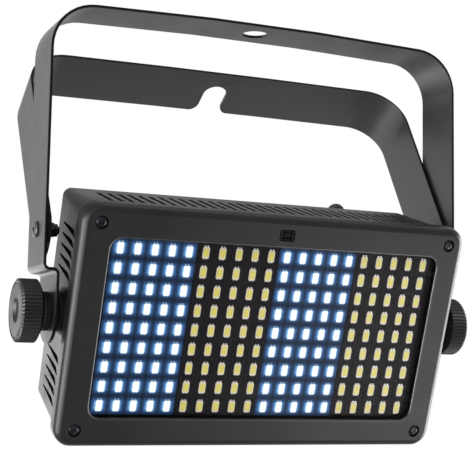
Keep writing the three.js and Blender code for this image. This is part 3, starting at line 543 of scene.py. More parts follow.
def loft(
    name: str, sections: Sequence[Section], steps: int = 8, centre: Pair = (0.0, 0.0)
) -> Piece:
    """A closed body through rounded rectangles that stand one behind another along Y.

    Args:
        name: The piece's name.
        sections: The rectangles, from front to back.
        steps: How many facets each corner has.
        centre: The middle of the rectangles, in X and Z.

    Returns:
        The piece.
    """
    clear_selection()
    bpy.ops.mesh.primitive_plane_add(size=1.0)
    piece = Piece(name, bpy.context.active_object)
    with piece.shaping("FACE"):
        bpy.ops.mesh.delete(type="VERT")
    for section in sections:
        middle = (centre[0], section.y, centre[1])
        with piece.shaping("VERT", lambda at: False):
            bpy.ops.mesh.primitive_plane_add(
                size=1.0, location=middle, rotation=(math.pi / 2, 0.0, 0.0)
            )
            bpy.ops.transform.resize(
                value=(section.width, 1.0, section.height), center_override=middle
            )
            bpy.ops.mesh.bevel(offset=section.corner, segments=steps, affect="VERTICES")
    ends = (sections[0].y, sections[-1].y)
    for first, second in zip(sections, sections[1:]):
        with piece.shaping(
            "EDGE",
            lambda a, b: abs(a.y - b.y) < 1e-4
            and min(abs(a.y - first.y), abs(a.y - second.y)) < 1e-4,
        ):
            bpy.ops.mesh.bridge_edge_loops()
    with piece.shaping(
        "FACE",
        lambda at, normal: abs(normal.y) > 0.999 and min(abs(at.y - end) for end in ends) > NEAR,
    ):
        bpy.ops.mesh.delete(type="ONLY_FACE")
    return piece.mend()


def slab(
    name: str,
    size: Pair,
    corner: float,
    span: Pair,
    centre: Pair = (0.0, 0.0),
    steps: int = 8,
) -> Piece:
    """A plate with rounded corners, standing across Y.

    Args:
        name: The piece's name.
        size: Its width and height.
        corner: Its corner radius.
        span: Where it starts and ends along Y.
        centre: Its middle, in X and Z.
        steps: How many facets each corner has.

    Returns:
        The piece.
    """
    sections = [Section(size[0], size[1], corner, y) for y in span]
    return loft(name, sections, steps, centre)


@dataclass(frozen=True)
class Corner:
    """A corner of a bent strip's middle line, in X and Z, and the radius that it is bent to."""

    x: float
    z: float
    radius: float = 0.0


@dataclass(frozen=True)
class Strap:
    """A flat steel strip with softly rounded edges, bent along a line of corners."""

    width: float = 31.0
    thick: float = 1.5
    edge: float = 0.4
    edge_steps: int = 2
    facet: float = 9.0

    def bend(self, name: str, corners: Sequence[Corner]) -> Piece:
        """Bend the right half of a strip and mirror it to the left.

        Args:
            name: The piece's name.
            corners: The middle line, from the strip's middle to its right end.

        Returns:
            The piece, closed at both ends.
        """
        clear_selection()
        start = corners[0]
        bpy.ops.mesh.primitive_plane_add(
            size=1.0, location=(start.x, 0.0, start.z), rotation=(0.0, math.pi / 2, 0.0)
        )
        section = bpy.context.active_object
        section.scale = (self.thick, self.width, 1.0)
        piece = Piece(name, section)
        with piece.shaping("VERT"):
            bpy.ops.mesh.bevel(offset=self.edge, segments=self.edge_steps, affect="VERTICES")
        with piece.shaping("FACE"):
            self._follow(corners)
        with piece.shaping("FACE", lambda at, normal: abs(at.x) < 1e-4 and abs(normal.x) > 0.99):
            bpy.ops.mesh.delete(type="FACE")
        return piece.mirror()

    @staticmethod
    def finish(piece: Piece, face: Finish, edge: Finish) -> None:
        """Round, shade and dress a bent strip.

        Args:
            piece: The strip, with its holes cut.
            face: The coat on its two faces.
            edge: The painted shade on its long edges: a flat near-black copy of the coat.
        """
        piece.round_off(0.25).smooth(20.0)
        # Faces that face along Y are the long edges, which take the painted shade.
        piece.dress([face, edge], lambda at, normal: 1 if abs(normal.y) > 0.5 else 0)

    def _follow(self, corners: Sequence[Corner]) -> None:
        """Extrude the selected section along the straights and spin it round the corners.

        Args:
            corners: The middle line that it follows.
        """
        here = Vector((corners[0].x, corners[0].z))
        for index in range(1, len(corners)):
            corner = corners[index]
            at = Vector((corner.x, corner.z))
            heading = (at - here).normalized()
            if index + 1 < len(corners) and corner.radius > 0.0:
                after = corners[index + 1]
                leaving = (Vector((after.x, after.z)) - at).normalized()
                sine = heading.x * leaving.y - heading.y * leaving.x
                turn = math.atan2(sine, heading.dot(leaving))
                setback = corner.radius * math.tan(abs(turn) / 2)
                stop = at - heading * setback
                self._forward(stop - here)
                side = math.copysign(1.0, turn)
                centre = stop + Vector((-heading.y, heading.x)) * side * corner.radius
                steps = max(2, math.ceil(abs(math.degrees(turn)) / self.facet))
                # The angle's sign is the other way round, because a spin in the background
                # turns left-handed about its axis.
                bpy.ops.mesh.spin(
                    steps=steps, angle=turn, center=(centre.x, 0.0, centre.y), axis=(0.0, 1.0, 0.0)
                )
                here = at + leaving * setback
            else:
                self._forward(at - here)
                here = at

    @staticmethod
    def _forward(step: Vector) -> None:
        """Extrude the selected face by a step in X and Z."""
        bpy.ops.mesh.extrude_region_move(TRANSFORM_OT_translate={"value": (step.x, 0.0, step.y)})


def end_rounder(width: float, half: float, pivot: float) -> Piece:
    """What rounds a strip's end to a half circle below a pivot.

    Args:
        width: The strip's width.
        half: How far out the strip stands.
        pivot: The pivot's height.

    Returns:
        The cutter.
    """
    reach = half + width
    cutter = block("end rounder", (-reach, -width, pivot - width), (reach, width, pivot))
    inside = rod("end", Axis.X, width / 2, (-reach - OVERRUN, reach + OVERRUN), (0.0, pivot), 64)
    return cutter.cut(inside)


# Finishes.


def linear(code: str) -> Tuple[float, float, float, float]:
    """An sRGB colour as the linear values that the shaders take.

    Args:
        code: The colour as six hexadecimal digits.

    Returns:
        Red, green, blue and an alpha of 1.
    """
    values = [int(code[i:i + 2], 16) / 255 for i in (0, 2, 4)]
    light = [v / 12.92 if v <= 0.04045 else ((v + 0.055) / 1.055) ** 2.4 for v in values]
    return (light[0], light[1], light[2], 1.0)


def add_node(
    tree: bpy.types.NodeTree, kind: str, inputs: Optional[Inputs] = None, **settings: Any
) -> bpy.types.Node:
    """Add a shader node with its settings and links.

    Args:
        tree: The material's node tree.
        kind: The node's type.
        inputs: Values and sockets for its inputs, by name or number.
        settings: The node's own properties.

    Returns:
        The node.
    """
    node = tree.nodes.new(kind)
    for key, value in settings.items():
        setattr(node, key, value)
    for key, value in (inputs or {}).items():
        if isinstance(value, bpy.types.NodeSocket):
            tree.links.new(value, node.inputs[key])
        else:
            node.inputs[key].default_value = value
    return node


class Recipe:
    """One material while its nodes are laid."""

    def __init__(self, name: str) -> None:
        """Start an empty material with its Object coordinates.

        Args:
            name: The material's name.
        """
        self.material = bpy.data.materials.new(name)
        self.material.use_nodes = True
        self.tree = self.material.node_tree
        self.tree.nodes.clear()
        self.where = self.add("ShaderNodeTexCoord").outputs["Object"]

    def add(self, kind: str, inputs: Optional[Inputs] = None, **settings: Any) -> bpy.types.Node:
        """Add a node to this material, as add_node does."""
        return add_node(self.tree, kind, inputs, **settings)

    def varied(self, size: float, span: Pair, where: Any = None, detail: float = 3.0) -> Any:
        """A value that wanders between two levels.

        Args:
            size: The size of its patches, in millimetres.
            span: Its lowest and its highest level.
            where: Coordinates to use in place of the plain ones.
            detail: How many finer layers it has.

        Returns:
            The socket of the value.
        """
        inputs = {"Vector": where or self.where, "Scale": 1.0 / (size * MM), "Detail": detail}
        patches = self.add("ShaderNodeTexNoise", {**inputs, "Roughness": NOISE_FALL})
        inputs = {"Value": patches.outputs["Fac"], "From Min": 0.3, "From Max": 0.7}
        inputs.update({"To Min": span[0], "To Max": span[1]})
        return self.add("ShaderNodeMapRange", inputs).outputs["Result"]

    def blotched(self, size: float, dark: str, light: str) -> Any:
        """A colour that wanders between two.

        Args:
            size: The size of its patches, in millimetres.
            dark: The first colour.
            light: The second colour.

        Returns:
            The socket of the colour.
        """
        share = self.varied(size, (0.0, 1.0))
        colours = {"Factor": share, 6: linear(dark), 7: linear(light)}
        return self.add("ShaderNodeMix", colours, data_type="RGBA").outputs[2]

    def relief(self, size: float, depth: float, where: Any = None) -> Any:
        """The normal of a finely grained surface.

        Args:
            size: The size of the grain, in millimetres.
            depth: Its depth, in millimetres.
            where: Coordinates to use in place of the plain ones.

        Returns:
            The socket of the normal.
        """
        inputs = {"Vector": where or self.where, "Scale": 1.0 / (size * MM), "Detail": 2.0}
        grain = self.add("ShaderNodeTexNoise", {**inputs, "Roughness": NOISE_FALL})
        inputs = {"Height": grain.outputs["Fac"], "Distance": depth * MM, "Strength": 1.0}
        return self.add("ShaderNodeBump", inputs).outputs["Normal"]

    def close(self, inputs: Inputs) -> Finish:
        """Give the material its surface.

        Args:
            inputs: Values and sockets of the surface.

        Returns:
            The finished material.
        """
        shader = self.add("ShaderNodeBsdfPrincipled", inputs)
        self.add("ShaderNodeOutputMaterial", {"Surface": shader.outputs["BSDF"]})
        return self.material


@dataclass(frozen=True)
class GrainedSolid:
    """A plastic, rubber or coat whose surface has a fine grain and a slow mottle.

    Real grain is often finer than the picture can show, so it is drawn as coarse as it
    needs to be to show.
    """

    name: str
    dark: str
    light: str
    roughness: Pair
    grain: float
    depth: float
    mottle: float
    specular: float = 0.5

    def make(self) -> Finish:
        """Lay the material's nodes.

        Returns:
            The material.
        """
        recipe = Recipe(self.name)
        return recipe.close(
            {
                "Base Color": recipe.blotched(self.mottle, self.dark, self.light),
                "Roughness": recipe.varied(self.mottle, self.roughness),
                "Specular IOR Level": self.specular,
                "Normal": recipe.relief(self.grain, self.depth),
            }
        )


@dataclass(frozen=True)
class WorkedMetal:
    """Bare or plated metal with the lines of drawing, turning or rolling, as coarse as shows."""

    name: str
    dark: str
    light: str
    roughness: Pair
    line: float
    stretch: Point
    depth: float = 0.01
    cloud: float = 12.0

    def make(self) -> Finish:
        """Lay the nodes, with clouds that are some times as wide as the lines.

        Returns:
            The material.
        """
        recipe = Recipe(self.name)
        drawn = recipe.add("ShaderNodeMapping", {"Vector": recipe.where, "Scale": self.stretch})
        along = drawn.outputs["Vector"]
        return recipe.close(
            {
                "Base Color": recipe.blotched(self.cloud * self.line, self.dark, self.light),
                "Roughness": recipe.varied(self.line, self.roughness, along, 2.0),
                "Metallic": 1.0,
                "Normal": recipe.relief(self.line, self.depth, along),
            }
        )


@dataclass(frozen=True)
class ClearPane:
    """A thin clear or smoked sheet, seen by the little that it reflects and holds back."""

    name: str
    tint: str
    alpha: float
    roughness: Pair
    specular: float
    smear: float = 22.0

    def make(self) -> Finish:
        """Lay the material's nodes.

        Returns:
            The material.
        """
        recipe = Recipe(self.name)
        return recipe.close(
            {
                "Base Color": linear(self.tint),
                "Roughness": recipe.varied(self.smear, self.roughness),
                "Specular IOR Level": self.specular,
                "Alpha": self.alpha,
            }
        )


@dataclass(frozen=True)
class LedGrid:
    """How the LED packages lie on their board, in the head's millimetres."""

    pitch_x: float = 8.7
    pitch_z: float = 9.85
    columns: int = 20
    rows: int = 9
    banks: int = 4
    width: float = 3.4
    height: float = 5.7
    centre: Pair = (0.2, -0.3)

    def x(self, column: int) -> float:
        """The middle of a column."""
        return (column - (self.columns - 1) / 2) * self.pitch_x + self.centre[0]

    def z(self, row: int) -> float:
        """The middle of a row, counted from the top."""
        return ((self.rows - 1) / 2 - row) * self.pitch_z + self.centre[1]

    def offset(self, recipe: Recipe) -> Any:
        """The place relative to the nearest package's middle, in millimetres.

        Args:
            recipe: The material that it is for.

        Returns:
            The socket of the offset.
        """
        pitch_x, pitch_z = self.pitch_x, self.pitch_z
        local = recipe.add("ShaderNodeMapping", {"Vector": recipe.where, **HEAD.mapping()})
        start = (-self.centre[0] / pitch_x, 0.0, 0.5 - self.centre[1] / pitch_z)
        steps = (
            ("MULTIPLY_ADD", {1: (1 / pitch_x, 0.0, 1 / pitch_z), 2: start}),
            ("FRACTION", {}),
            ("MULTIPLY_ADD", {1: (pitch_x, 0.0, pitch_z), 2: (-pitch_x / 2, 0.0, -pitch_z / 2)}),
        )
        value = local.outputs["Vector"]
        for operation, inputs in steps:
            node = recipe.add("ShaderNodeVectorMath", {0: value, **inputs}, operation=operation)
            value = node.outputs["Vector"]
        return value

    def beyond(self, recipe: Recipe, half: Pair, shift: float = 0.0) -> Any:
        """How far a place lies outside a rectangle round its package's middle, in mm.

        Args:
            recipe: The material that it is for.
            half: Half the rectangle's width and height.
            shift: How far the rectangle is moved to the left.

        Returns:
            The socket of the distance.
        """
        steps = (
            ("ADD", {1: (shift, 0.0, 0.0)}),
            ("ABSOLUTE", {}),
            ("SUBTRACT", {1: (half[0], 0.0, half[1])}),
            ("MAXIMUM", {1: (0.0, 0.0, 0.0)}),
            ("LENGTH", {}),
        )
        value = self.offset(recipe)
        for operation, inputs in steps:
            node = recipe.add("ShaderNodeVectorMath", {0: value, **inputs}, operation=operation)
            value = node.outputs["Value" if operation == "LENGTH" else "Vector"]
        return value


@dataclass(frozen=True)
class LitLed:
    """A package that is on: a white core that fades to blue at its rim."""

    name: str
    core: str
    rim: str
    strength: Pair
    resin: str = "59626B"
    roughness: float = 0.4
    core_half: Pair = (1.2, 2.3)
    fade: float = 0.6
    grid: LedGrid = LedGrid()

    def make(self) -> Finish:
        """Lay the material's nodes.

        Returns:
            The material.
        """
        recipe = Recipe(self.name)
        away = self.grid.beyond(recipe, self.core_half)
        inputs = {"Value": away, "From Max": self.fade, "To Min": 1.0, "To Max": 0.0}
        share = recipe.add("ShaderNodeMapRange", inputs).outputs["Result"]
        inputs = {"Value": share, "To Min": self.strength[0], "To Max": self.strength[1]}
        level = recipe.add("ShaderNodeMapRange", inputs)
        inputs = {"Factor": share, 6: linear(self.rim), 7: linear(self.core)}
        colour = recipe.add("ShaderNodeMix", inputs, data_type="RGBA")
        return recipe.close(
            {
                "Base Color": linear(self.resin),
                "Roughness": self.roughness,
                "Emission Color": colour.outputs[2],
                "Emission Strength": level.outputs["Result"],
            }
        )


@dataclass(frozen=True)
class MaskedBoard:
    """Solder mask with faint copper tracks, and the blue light that lit packages shed."""

    name: str
    dark: str
    light: str
    track: str
    glow: Optional[Tuple[str, str]] = None
    glow_strength: float = 1.6
    glow_loss: float = 0.045
    glow_waist: float = 1.2
    glow_shift: float = -0.05
    mottle: float = 9.0
    roughness: Pair = (0.38, 0.52)
    specular: float = 0.08
    track_x: float = 3.1
    track_half: float = 0.25
    track_height: float = 0.05
    grid: LedGrid = LedGrid()

    def make(self) -> Finish:
        """Lay the material's nodes.

        Returns:
            The material.
        """
        recipe = Recipe(self.name)
        tracks = self._tracks(recipe)
        plain = recipe.blotched(self.mottle, self.dark, self.light)
        inputs = {"Factor": tracks, 6: plain, 7: linear(self.track)}
        colour = recipe.add("ShaderNodeMix", inputs, data_type="RGBA")
        inputs = {"Height": tracks, "Distance": self.track_height * MM, "Strength": 1.0}
        height = recipe.add("ShaderNodeBump", inputs)
        inputs = {
            "Base Color": colour.outputs[2],
            "Roughness": recipe.varied(self.mottle, self.roughness),
            "Specular IOR Level": self.specular,
            "Normal": height.outputs["Normal"],
        }
        if self.glow:
            inputs.update(self._shed(recipe))
        return recipe.close(inputs)

    def _tracks(self, recipe: Recipe) -> Any:
        """Copper tracks that run up the board between the columns.

        Args:
            recipe: The material that they are for.

        Returns:
            The socket of a value that is 1 on a track and 0 beside it.
        """
        parts = recipe.add("ShaderNodeSeparateXYZ", {"Vector": self.grid.offset(recipe)})
        away = recipe.add("ShaderNodeMath", {0: parts.outputs["X"]}, operation="ABSOLUTE")
        inputs = {0: away.outputs[0], 1: self.track_x, 2: self.track_half}
        return recipe.add("ShaderNodeMath", inputs, operation="COMPARE").outputs[0]

    def _shed(self, recipe: Recipe) -> Inputs:
        """The light on the board, which falls with the square of 1 mm plus the distance.

        Args:
            recipe: The material that it is for.

        Returns:
            The surface's inputs for it.
        """
        half = (self.grid.width / 2, self.grid.height / 2 - self.glow_waist)
        value = self.grid.beyond(recipe, half, self.glow_shift)
        value = recipe.add("ShaderNodeMath", {0: value, 1: 1.0}, operation="ADD").outputs[0]
        near = recipe.add("ShaderNodeMath", {0: 1.0, 1: value}, operation="DIVIDE").outputs[0]
        square = recipe.add("ShaderNodeMath", {0: near, 1: near}, operation="MULTIPLY")
        inputs = {0: square.outputs[0], 1: self.glow_strength, 2: -self.glow_loss}
        level = recipe.add("ShaderNodeMath", inputs, operation="MULTIPLY_ADD", use_clamp=True)
        inputs = {"Factor": near, 6: linear(self.glow[0]), 7: linear(self.glow[1])}
        colour = recipe.add("ShaderNodeMix", inputs, data_type="RGBA")
        return {"Emission Color": colour.outputs[2], "Emission Strength": level.outputs[0]}


class Palette:
    """Every finish of the object, made once."""

    def __init__(self) -> None:
        """Make the finishes."""
        # Polyester powder coat on steel: near black, with an orange-peel grain that keeps
        # its sheen soft, bright only where it is seen along the surface.
        self.powder_coat = GrainedSolid(
            "black powder coat", "1E1E1F", "272728", (0.36, 0.46), 0.7, 0.012, 25.0, 0.6
        ).make()
        # Painted shade: the strips' sheared edges get a flat near-black copy of the coat, so that
        # they read as dark as edges in shadow.
        self.edge_shade_coat = GrainedSolid(
            "thin powder coat", "070708", "0B0B0C", (0.5, 0.6), 0.7, 0.012, 25.0, 0.08
        ).make()
        # Spark-eroded ABS: a matte dark grey whose fine pits break up every reflection.
        self.abs = GrainedSolid(
            "spark-eroded abs", "0F0F10", "151516", (0.34, 0.42), 0.45, 0.012, 30.0, 0.2
        ).make()
        # The same ABS where the mould is polished, on the walls and the lip of the opening: its
        # gloss is real, and its lighter tone is painted light from the lit packages.
        self.polished_abs = GrainedSolid(
            "polished abs", "19191A", "212122", (0.22, 0.3), 1.2, 0.004, 20.0, 0.45
        ).make()
        # The rear shell's ABS from a coarser mould: a little paler and duller than the bezel.
        self.shell_abs = GrainedSolid(
            "moulded shell abs", "131314", "1B1B1C", (0.42, 0.52), 0.6, 0.02, 22.0, 0.26
        ).make()
        # Glass-filled nylon: harder and a little shinier than the shell, with pale flow marks.
        self.nylon = GrainedSolid(
            "glass-filled nylon", "121213", "1D1D1E", (0.38, 0.5), 0.9, 0.015, 6.0, 0.3
        ).make()
        # Rubber: takes the light softly and shows a faint bloom.
        self.rubber = GrainedSolid(
            "nitrile rubber", "0C0C0D", "141415", (0.62, 0.78), 0.5, 0.02, 5.0, 0.2
        ).make()
        # Zinc plate: a cool grey metal with thin drawn lines.
        self.zinc = WorkedMetal(
            "zinc-plated steel", "9DA0A3", "C2C4C4", (0.24, 0.42), 0.25, (1.0, 6.0, 1.0)
        ).make()
        # Black oxide on steel: dark but still metal, so its edges glint.
        self.black_oxide = WorkedMetal(
            "black oxide steel", "1A1B1D", "303235", (0.12, 0.26), 0.2, (4.0, 1.0, 1.0)
        ).make()
        # Brass from the lathe: warm yellow, with fine rings round its axis.
        self.brass = WorkedMetal(
            "turned brass", "A98544", "C7A45C", (0.22, 0.36), 0.15, (1.0, 5.0, 5.0)
        ).make()
        # Extruded aluminium: pale and satin, with die lines that run up the fins.
        self.aluminium = WorkedMetal(
            "extruded aluminium", "A9ACAE", "C6C8C9", (0.32, 0.5), 0.3, (5.0, 5.0, 0.6)
        ).make()
        # Tin on copper leads and solder tabs: a warm white metal, smooth but not polished.
        self.tin = WorkedMetal(
            "tinned copper", "B9B6AE", "D8D6D0", (0.25, 0.4), 0.2, (1.0, 1.0, 3.0)
        ).make()
        # Black solder mask on glass laminate: it swallows light, and its tracks barely show.
        self.led_board = MaskedBoard("black solder mask", "0C0A0D", "130F14", "1B171B").make()
        # The same mask beside packages that are on: blue light lies on it.
        self.lit_board = MaskedBoard(
            "lit solder mask", "080A10", "0D1018", "121824", ("0A8CFF", "96CCFF")
        ).make()
        # Green solder mask of the hidden boards, with paler tracks under it.
        self.green_board = MaskedBoard("green solder mask", "14361F", "1C4A2A", "2A6A3C").make()
        # White moulded package rim round the phosphor.
        self.led_body = GrainedSolid(
            "white package resin", "E4D8C2", "EEE4D2", (0.4, 0.5), 0.5, 0.003, 2.0, 0.4
        ).make()
        # Phosphor in clear resin: saturated yellow when it is off.
        self.phosphor = GrainedSolid(
            "yellow phosphor gel", "E8DC58", "F0E466", (0.25, 0.4), 0.6, 0.004, 1.6
        ).make()
        # A lit package: white where the phosphor is, blue where only its resin rim shines.
        self.lit_led = LitLed("lit white package", "F6FCFF", "BFE2FA", (0.6, 1.3)).make()
        # Clear extruded polycarbonate: all but unseen, with a weak smeared reflection.
        self.window = ClearPane("clear polycarbonate", "0B0E12", 0.05, (0.07, 0.16), 0.14).make()
        # Smoked acrylic: black until something behind it lights up, with a faint gloss.
        self.smoked = ClearPane("smoked acrylic", "040304", 0.98, (0.175, 0.4), 0.08).make()
        # Polyester tape round the transformer: amber, glossy and softly creased.
        self.tape = GrainedSolid(
            "polyester tape", "B8932F", "D2AE48", (0.25, 0.4), 3.0, 0.03, 8.0
        ).make()
        # Shrunk PVC sleeve of the capacitor: dark blue, tight and glossy.
        self.sleeve = GrainedSolid(
            "shrunk pvc sleeve", "18203A", "232E4E", (0.25, 0.4), 2.0, 0.02, 7.0
        ).make()


# Brackets.


@dataclass
class MainYoke:
    """The main yoke: a bent strap with a clamp hole and a joggle above each knob."""

    half: float = 114.3
    rise: float = 152.4
    corner: float = 23.0
    crown_flat: float = 30.0
    crown_drop: float = 2.2
    crown_bend: float = 120.0
    joggle_rise: float = 19.5
    joggle_in: float = 6.6
    joggle_bend: float = 2.5
    clamp_hole: float = 6.8
    stud_hole: float = 3.3
    pivot_hole: float = 2.3
    pivot_rise: float = 39.6
    strap: Strap = Strap()

    def build(self, finish: Finish, edge: Finish) -> None:
        """Model the yoke and settle it.

        Args:
            finish: The coat on the strip's faces.
            edge: The painted shade on its sheared edges.
        """
        thick = self.strap.thick
        top = -thick / 2
        middle = self.half - thick / 2
        tab = middle - self.joggle_in
        joggle = self.joggle_rise - self.rise
        piece = self.strap.bend(
            "main_yoke_strap",
            [
                Corner(0.0, top),
                Corner(self.crown_flat, top, self.crown_bend),
                Corner(middle, top - self.crown_drop, self.corner - thick / 2),
                Corner(middle, joggle, self.joggle_bend),
                Corner(tab, joggle, self.joggle_bend),
                Corner(tab, -self.rise - self.strap.width / 2),
            ],
        )
        far = self.half + OVERRUN
        piece.cut(
            end_rounder(self.strap.width, self.half, -self.rise),
            rod("clamp hole", Axis.Z, self.clamp_hole, (-thick - OVERRUN, OVERRUN), sides=56),
            rod("stud hole", Axis.X, self.stud_hole, (-far, far), (0.0, -self.rise)),
            rod("pivot hole", Axis.X, self.pivot_hole, (-far, far),
                (0.0, self.pivot_rise - self.rise)),
        )
        self.strap.finish(piece, finish, edge)
        piece.settle(YOKE, "yoke", "yoke_steel", "main_yoke")


@dataclass
class FloorBracket:
    """The second bracket: a bent strap with an open notch for a clamp bolt."""

    half: float = 112.4
    rise: float = 107.1
    corner: float = 22.0
    crown_flat: float = 30.0
    crown_drop: float = 0.8
    crown_bend: float = 150.0
    notch_radius: float = 6.8
    notch_depth: float = 21.0
    notch_lip: float = 6.0
    pivot_hole: float = 2.3
    strap: Strap = Strap()

    def build(self, finish: Finish, edge: Finish) -> None:
        """Model the bracket and settle it.

        Args:
            finish: The coat on the strip's faces.
            edge: The painted shade on its sheared edges.
        """
        thick, width = self.strap.thick, self.strap.width
        top = self.rise - thick / 2
        middle = self.half - thick / 2
        piece = self.strap.bend(
            "floor_bracket_strap",
            [
                Corner(0.0, top),
                Corner(self.crown_flat, top, self.crown_bend),
                Corner(middle, top - self.crown_drop, self.corner - thick / 2),
                Corner(middle, -width / 2),
            ],
        )
        far = self.half + OVERRUN
        piece.cut(
            end_rounder(width, self.half, 0.0),
            rod("pivot hole", Axis.X, self.pivot_hole, (-far, far)),
            self._notch(),
        )
        self.strap.finish(piece, finish, edge)
        piece.settle(BRACKET, "bracket", "yoke_steel", "floor_bracket")

    def _notch(self) -> Piece:
        """The open notch with its rounded bottom and flared mouth.

        Returns:
            What cuts it.
        """
        span = (self.rise - self.strap.thick - OVERRUN, self.rise + OVERRUN)
        rear = self.strap.width / 2
        bottom = rear - self.notch_depth + self.notch_radius
        radius = self.notch_radius
        mouth_half = radius + self.notch_lip
        lip = self.notch_lip
        notch = block("notch", (-radius, bottom, span[0]), (radius, rear + OVERRUN, span[1]))
        notch.weld(rod("notch end", Axis.Z, radius, span, (0.0, bottom), 56))
        mouth = block(
            "mouth", (-mouth_half, rear - lip, span[0]), (mouth_half, rear + OVERRUN, span[1])
        )
        taller = (span[0] - OVERRUN, span[1] + OVERRUN)
        for sign in (-1, 1):
            mouth.cut(rod("lip", Axis.Z, lip, taller, (sign * mouth_half, rear - lip), 56))
        return notch.weld(mouth)


@dataclass
class BracketPivot:
    """Screw, washer and lock nut that hold the second bracket to one arm of the yoke."""

    head_x: float = 114.6
    head_radius: float = 4.0
    head_rise: float = 1.3
    head_edge: float = 0.4
    head_flat: float = 0.62
    socket_radius: float = 1.4
    socket_depth: float = 0.9
    shank_radius: float = 2.0
    tip_x: float = 103.2
    tip_chamfer: float = 0.35
    washer_x: Pair = (109.6, 110.6)
    washer_radius: float = 4.5
    nut_x: Pair = (104.3, 109.3)
    nut_across: float = 7.0
    collar_length: float = 1.6
    collar_inset: float = 0.3
    hole: float = 2.3

    def build(self, side: Side, finish: Finish, coat: Finish) -> None:
        """Model the fasteners of one side and settle them.

        Args:
            side: The side of the head that they are on.
            finish: The finish of the washer, the nut and the screw's shank and socket.
            coat: The paint on the screw's head.
        """
        word = side.word
        screw = self._screw(f"bracket_screw_{word}_turned")
        washer = ring(f"bracket_washer_{word}_ring", self.washer_radius, self.hole, self.washer_x)
        washer.round_off(0.15)
        nut = self._nut(f"bracket_lock_nut_{word}_formed")
        for piece, node in (
            (screw, f"bracket_screw_{word}"),
            (washer, f"bracket_washer_{word}"),
            (nut, f"bracket_lock_nut_{word}"),
        ):
            if side is Side.LEFT:
                piece.flip()
            piece.smooth().dress([finish, coat], self._coated)
            piece.settle(PIVOT, "yoke", "black_screw_steel", node)

    def _coated(self, at: Vector, normal: Vector) -> int:
        """Which finish a face of the screw has.

        Args:
            at: The face's centre.
            normal: Its direction.

        Returns:
            1 on the outside of the screw's head, and 0 elsewhere.
        """
        outside = math.hypot(at.y, at.z) > self.socket_radius
        return 1 if outside and abs(at.x) > self.head_x + 0.01 else 0

    def _screw(self, name: str) -> Piece:
        """A button-head screw with a hexagon socket.

        Args:
            name: The piece's name.

        Returns:
            The screw of the right side.
        """
        piece = rod(name, Axis.X, self.shank_radius, (self.tip_x, self.head_x), sides=24)
        edge = (self.head_x, self.head_x + self.head_edge)
        head = rod("head", Axis.X, self.head_radius, edge, sides=36)
        crown = self.head_x + self.head_rise
        dome(head, Axis.X, crown, self.head_flat)
        depth = (crown - self.socket_depth, crown + OVERRUN)
        piece.weld(head).cut(rod("socket", Axis.X, self.socket_radius, depth, sides=6))
        end = self.tip_x + NEAR
        return piece.bevel_edges(lambda a, b: max(a.x, b.x) < end, self.tip_chamfer, 1)

    def _nut(self, name: str) -> Piece:
        """A hexagon nut with chamfered corners and a round locking collar.

        Args:
            name: The piece's name.

        Returns:
            The nut of the right side.
        """
        low, high = self.nut_x
        half = self.nut_across / 2
        hexagon_x = low + self.collar_length
        piece = rod(name, Axis.X, 2 * half / math.sqrt(3), (hexagon_x, high), sides=6)
        # What is common to the hexagon and a cone has chamfered corners.
        cone = rod("cone", Axis.X, half - 0.05, (hexagon_x - 0.1, hexagon_x + 2.0), sides=36,
                   end_radius=half + 1.6)
        cone.weld(rod("rest", Axis.X, 2 * half, (hexagon_x + 1.0, high + 1.0), sides=36))
        piece.boolean(cone, "INTERSECT")
        collar = (low, hexagon_x + 0.5)
        piece.weld(rod("collar", Axis.X, half - self.collar_inset, collar, sides=36))
        piece.cut(rod("bore", Axis.X, self.hole, (low - 1, high + 1), sides=24))
        return piece.round_off(0.2, 2, 50.0)


def ring(name: str, radius: float, hole: float, span: Pair) -> Piece:
    """A flat ring on the X axis.

    Args:
        name: The piece's name.
        radius: Its outer radius.
        hole: Its hole's radius.
        span: Where it starts and ends along X.

    Returns:
        The piece.
    """
    piece = rod(name, Axis.X, radius, span, sides=48)
    inside = (span[0] - OVERRUN, span[1] + OVERRUN)
    return piece.cut(rod("hole", Axis.X, hole, inside, sides=48))


def dome(piece: Piece, axis: Axis, top: float, share: float, steps: int = 4) -> Piece:
    """Raise a rod's high end to a shallow dome.

    Args:
        piece: The rod.
        axis: The axis that it stands on.
        top: Where the dome ends along the axis.
        share: The dome's last flat, as a share of the rod's radius.
        steps: How many rings the dome has.

    Returns:
        The same piece.
    """
    index = axis.value
    low = max(point.co[index] for point in piece.obj.data.vertices)
    middle = sum((point.co for point in piece.obj.data.vertices), Vector())
    middle /= len(piece.obj.data.vertices)
    with piece.shaping("FACE", lambda at, normal: normal[index] > 0.99):
        last_size = 1.0
        last_rise = 0.0
        for step in range(1, steps + 1):
            angle = step / steps * math.acos(share)
            size = math.cos(angle)
            rise = (top - low) * math.sin(angle) / math.sin(math.acos(share))
            move = [0.0, 0.0, 0.0]
            move[index] = rise - last_rise
            bpy.ops.mesh.extrude_region_move(TRANSFORM_OT_translate={"value": move})
            grow = [size / last_size] * 3
            grow[index] = 1.0
            centre = list(middle)
            centre[index] = low + rise
            bpy.ops.transform.resize(value=grow, center_override=centre)
            last_size, last_rise = size, rise
    return piece


# Friction joint.


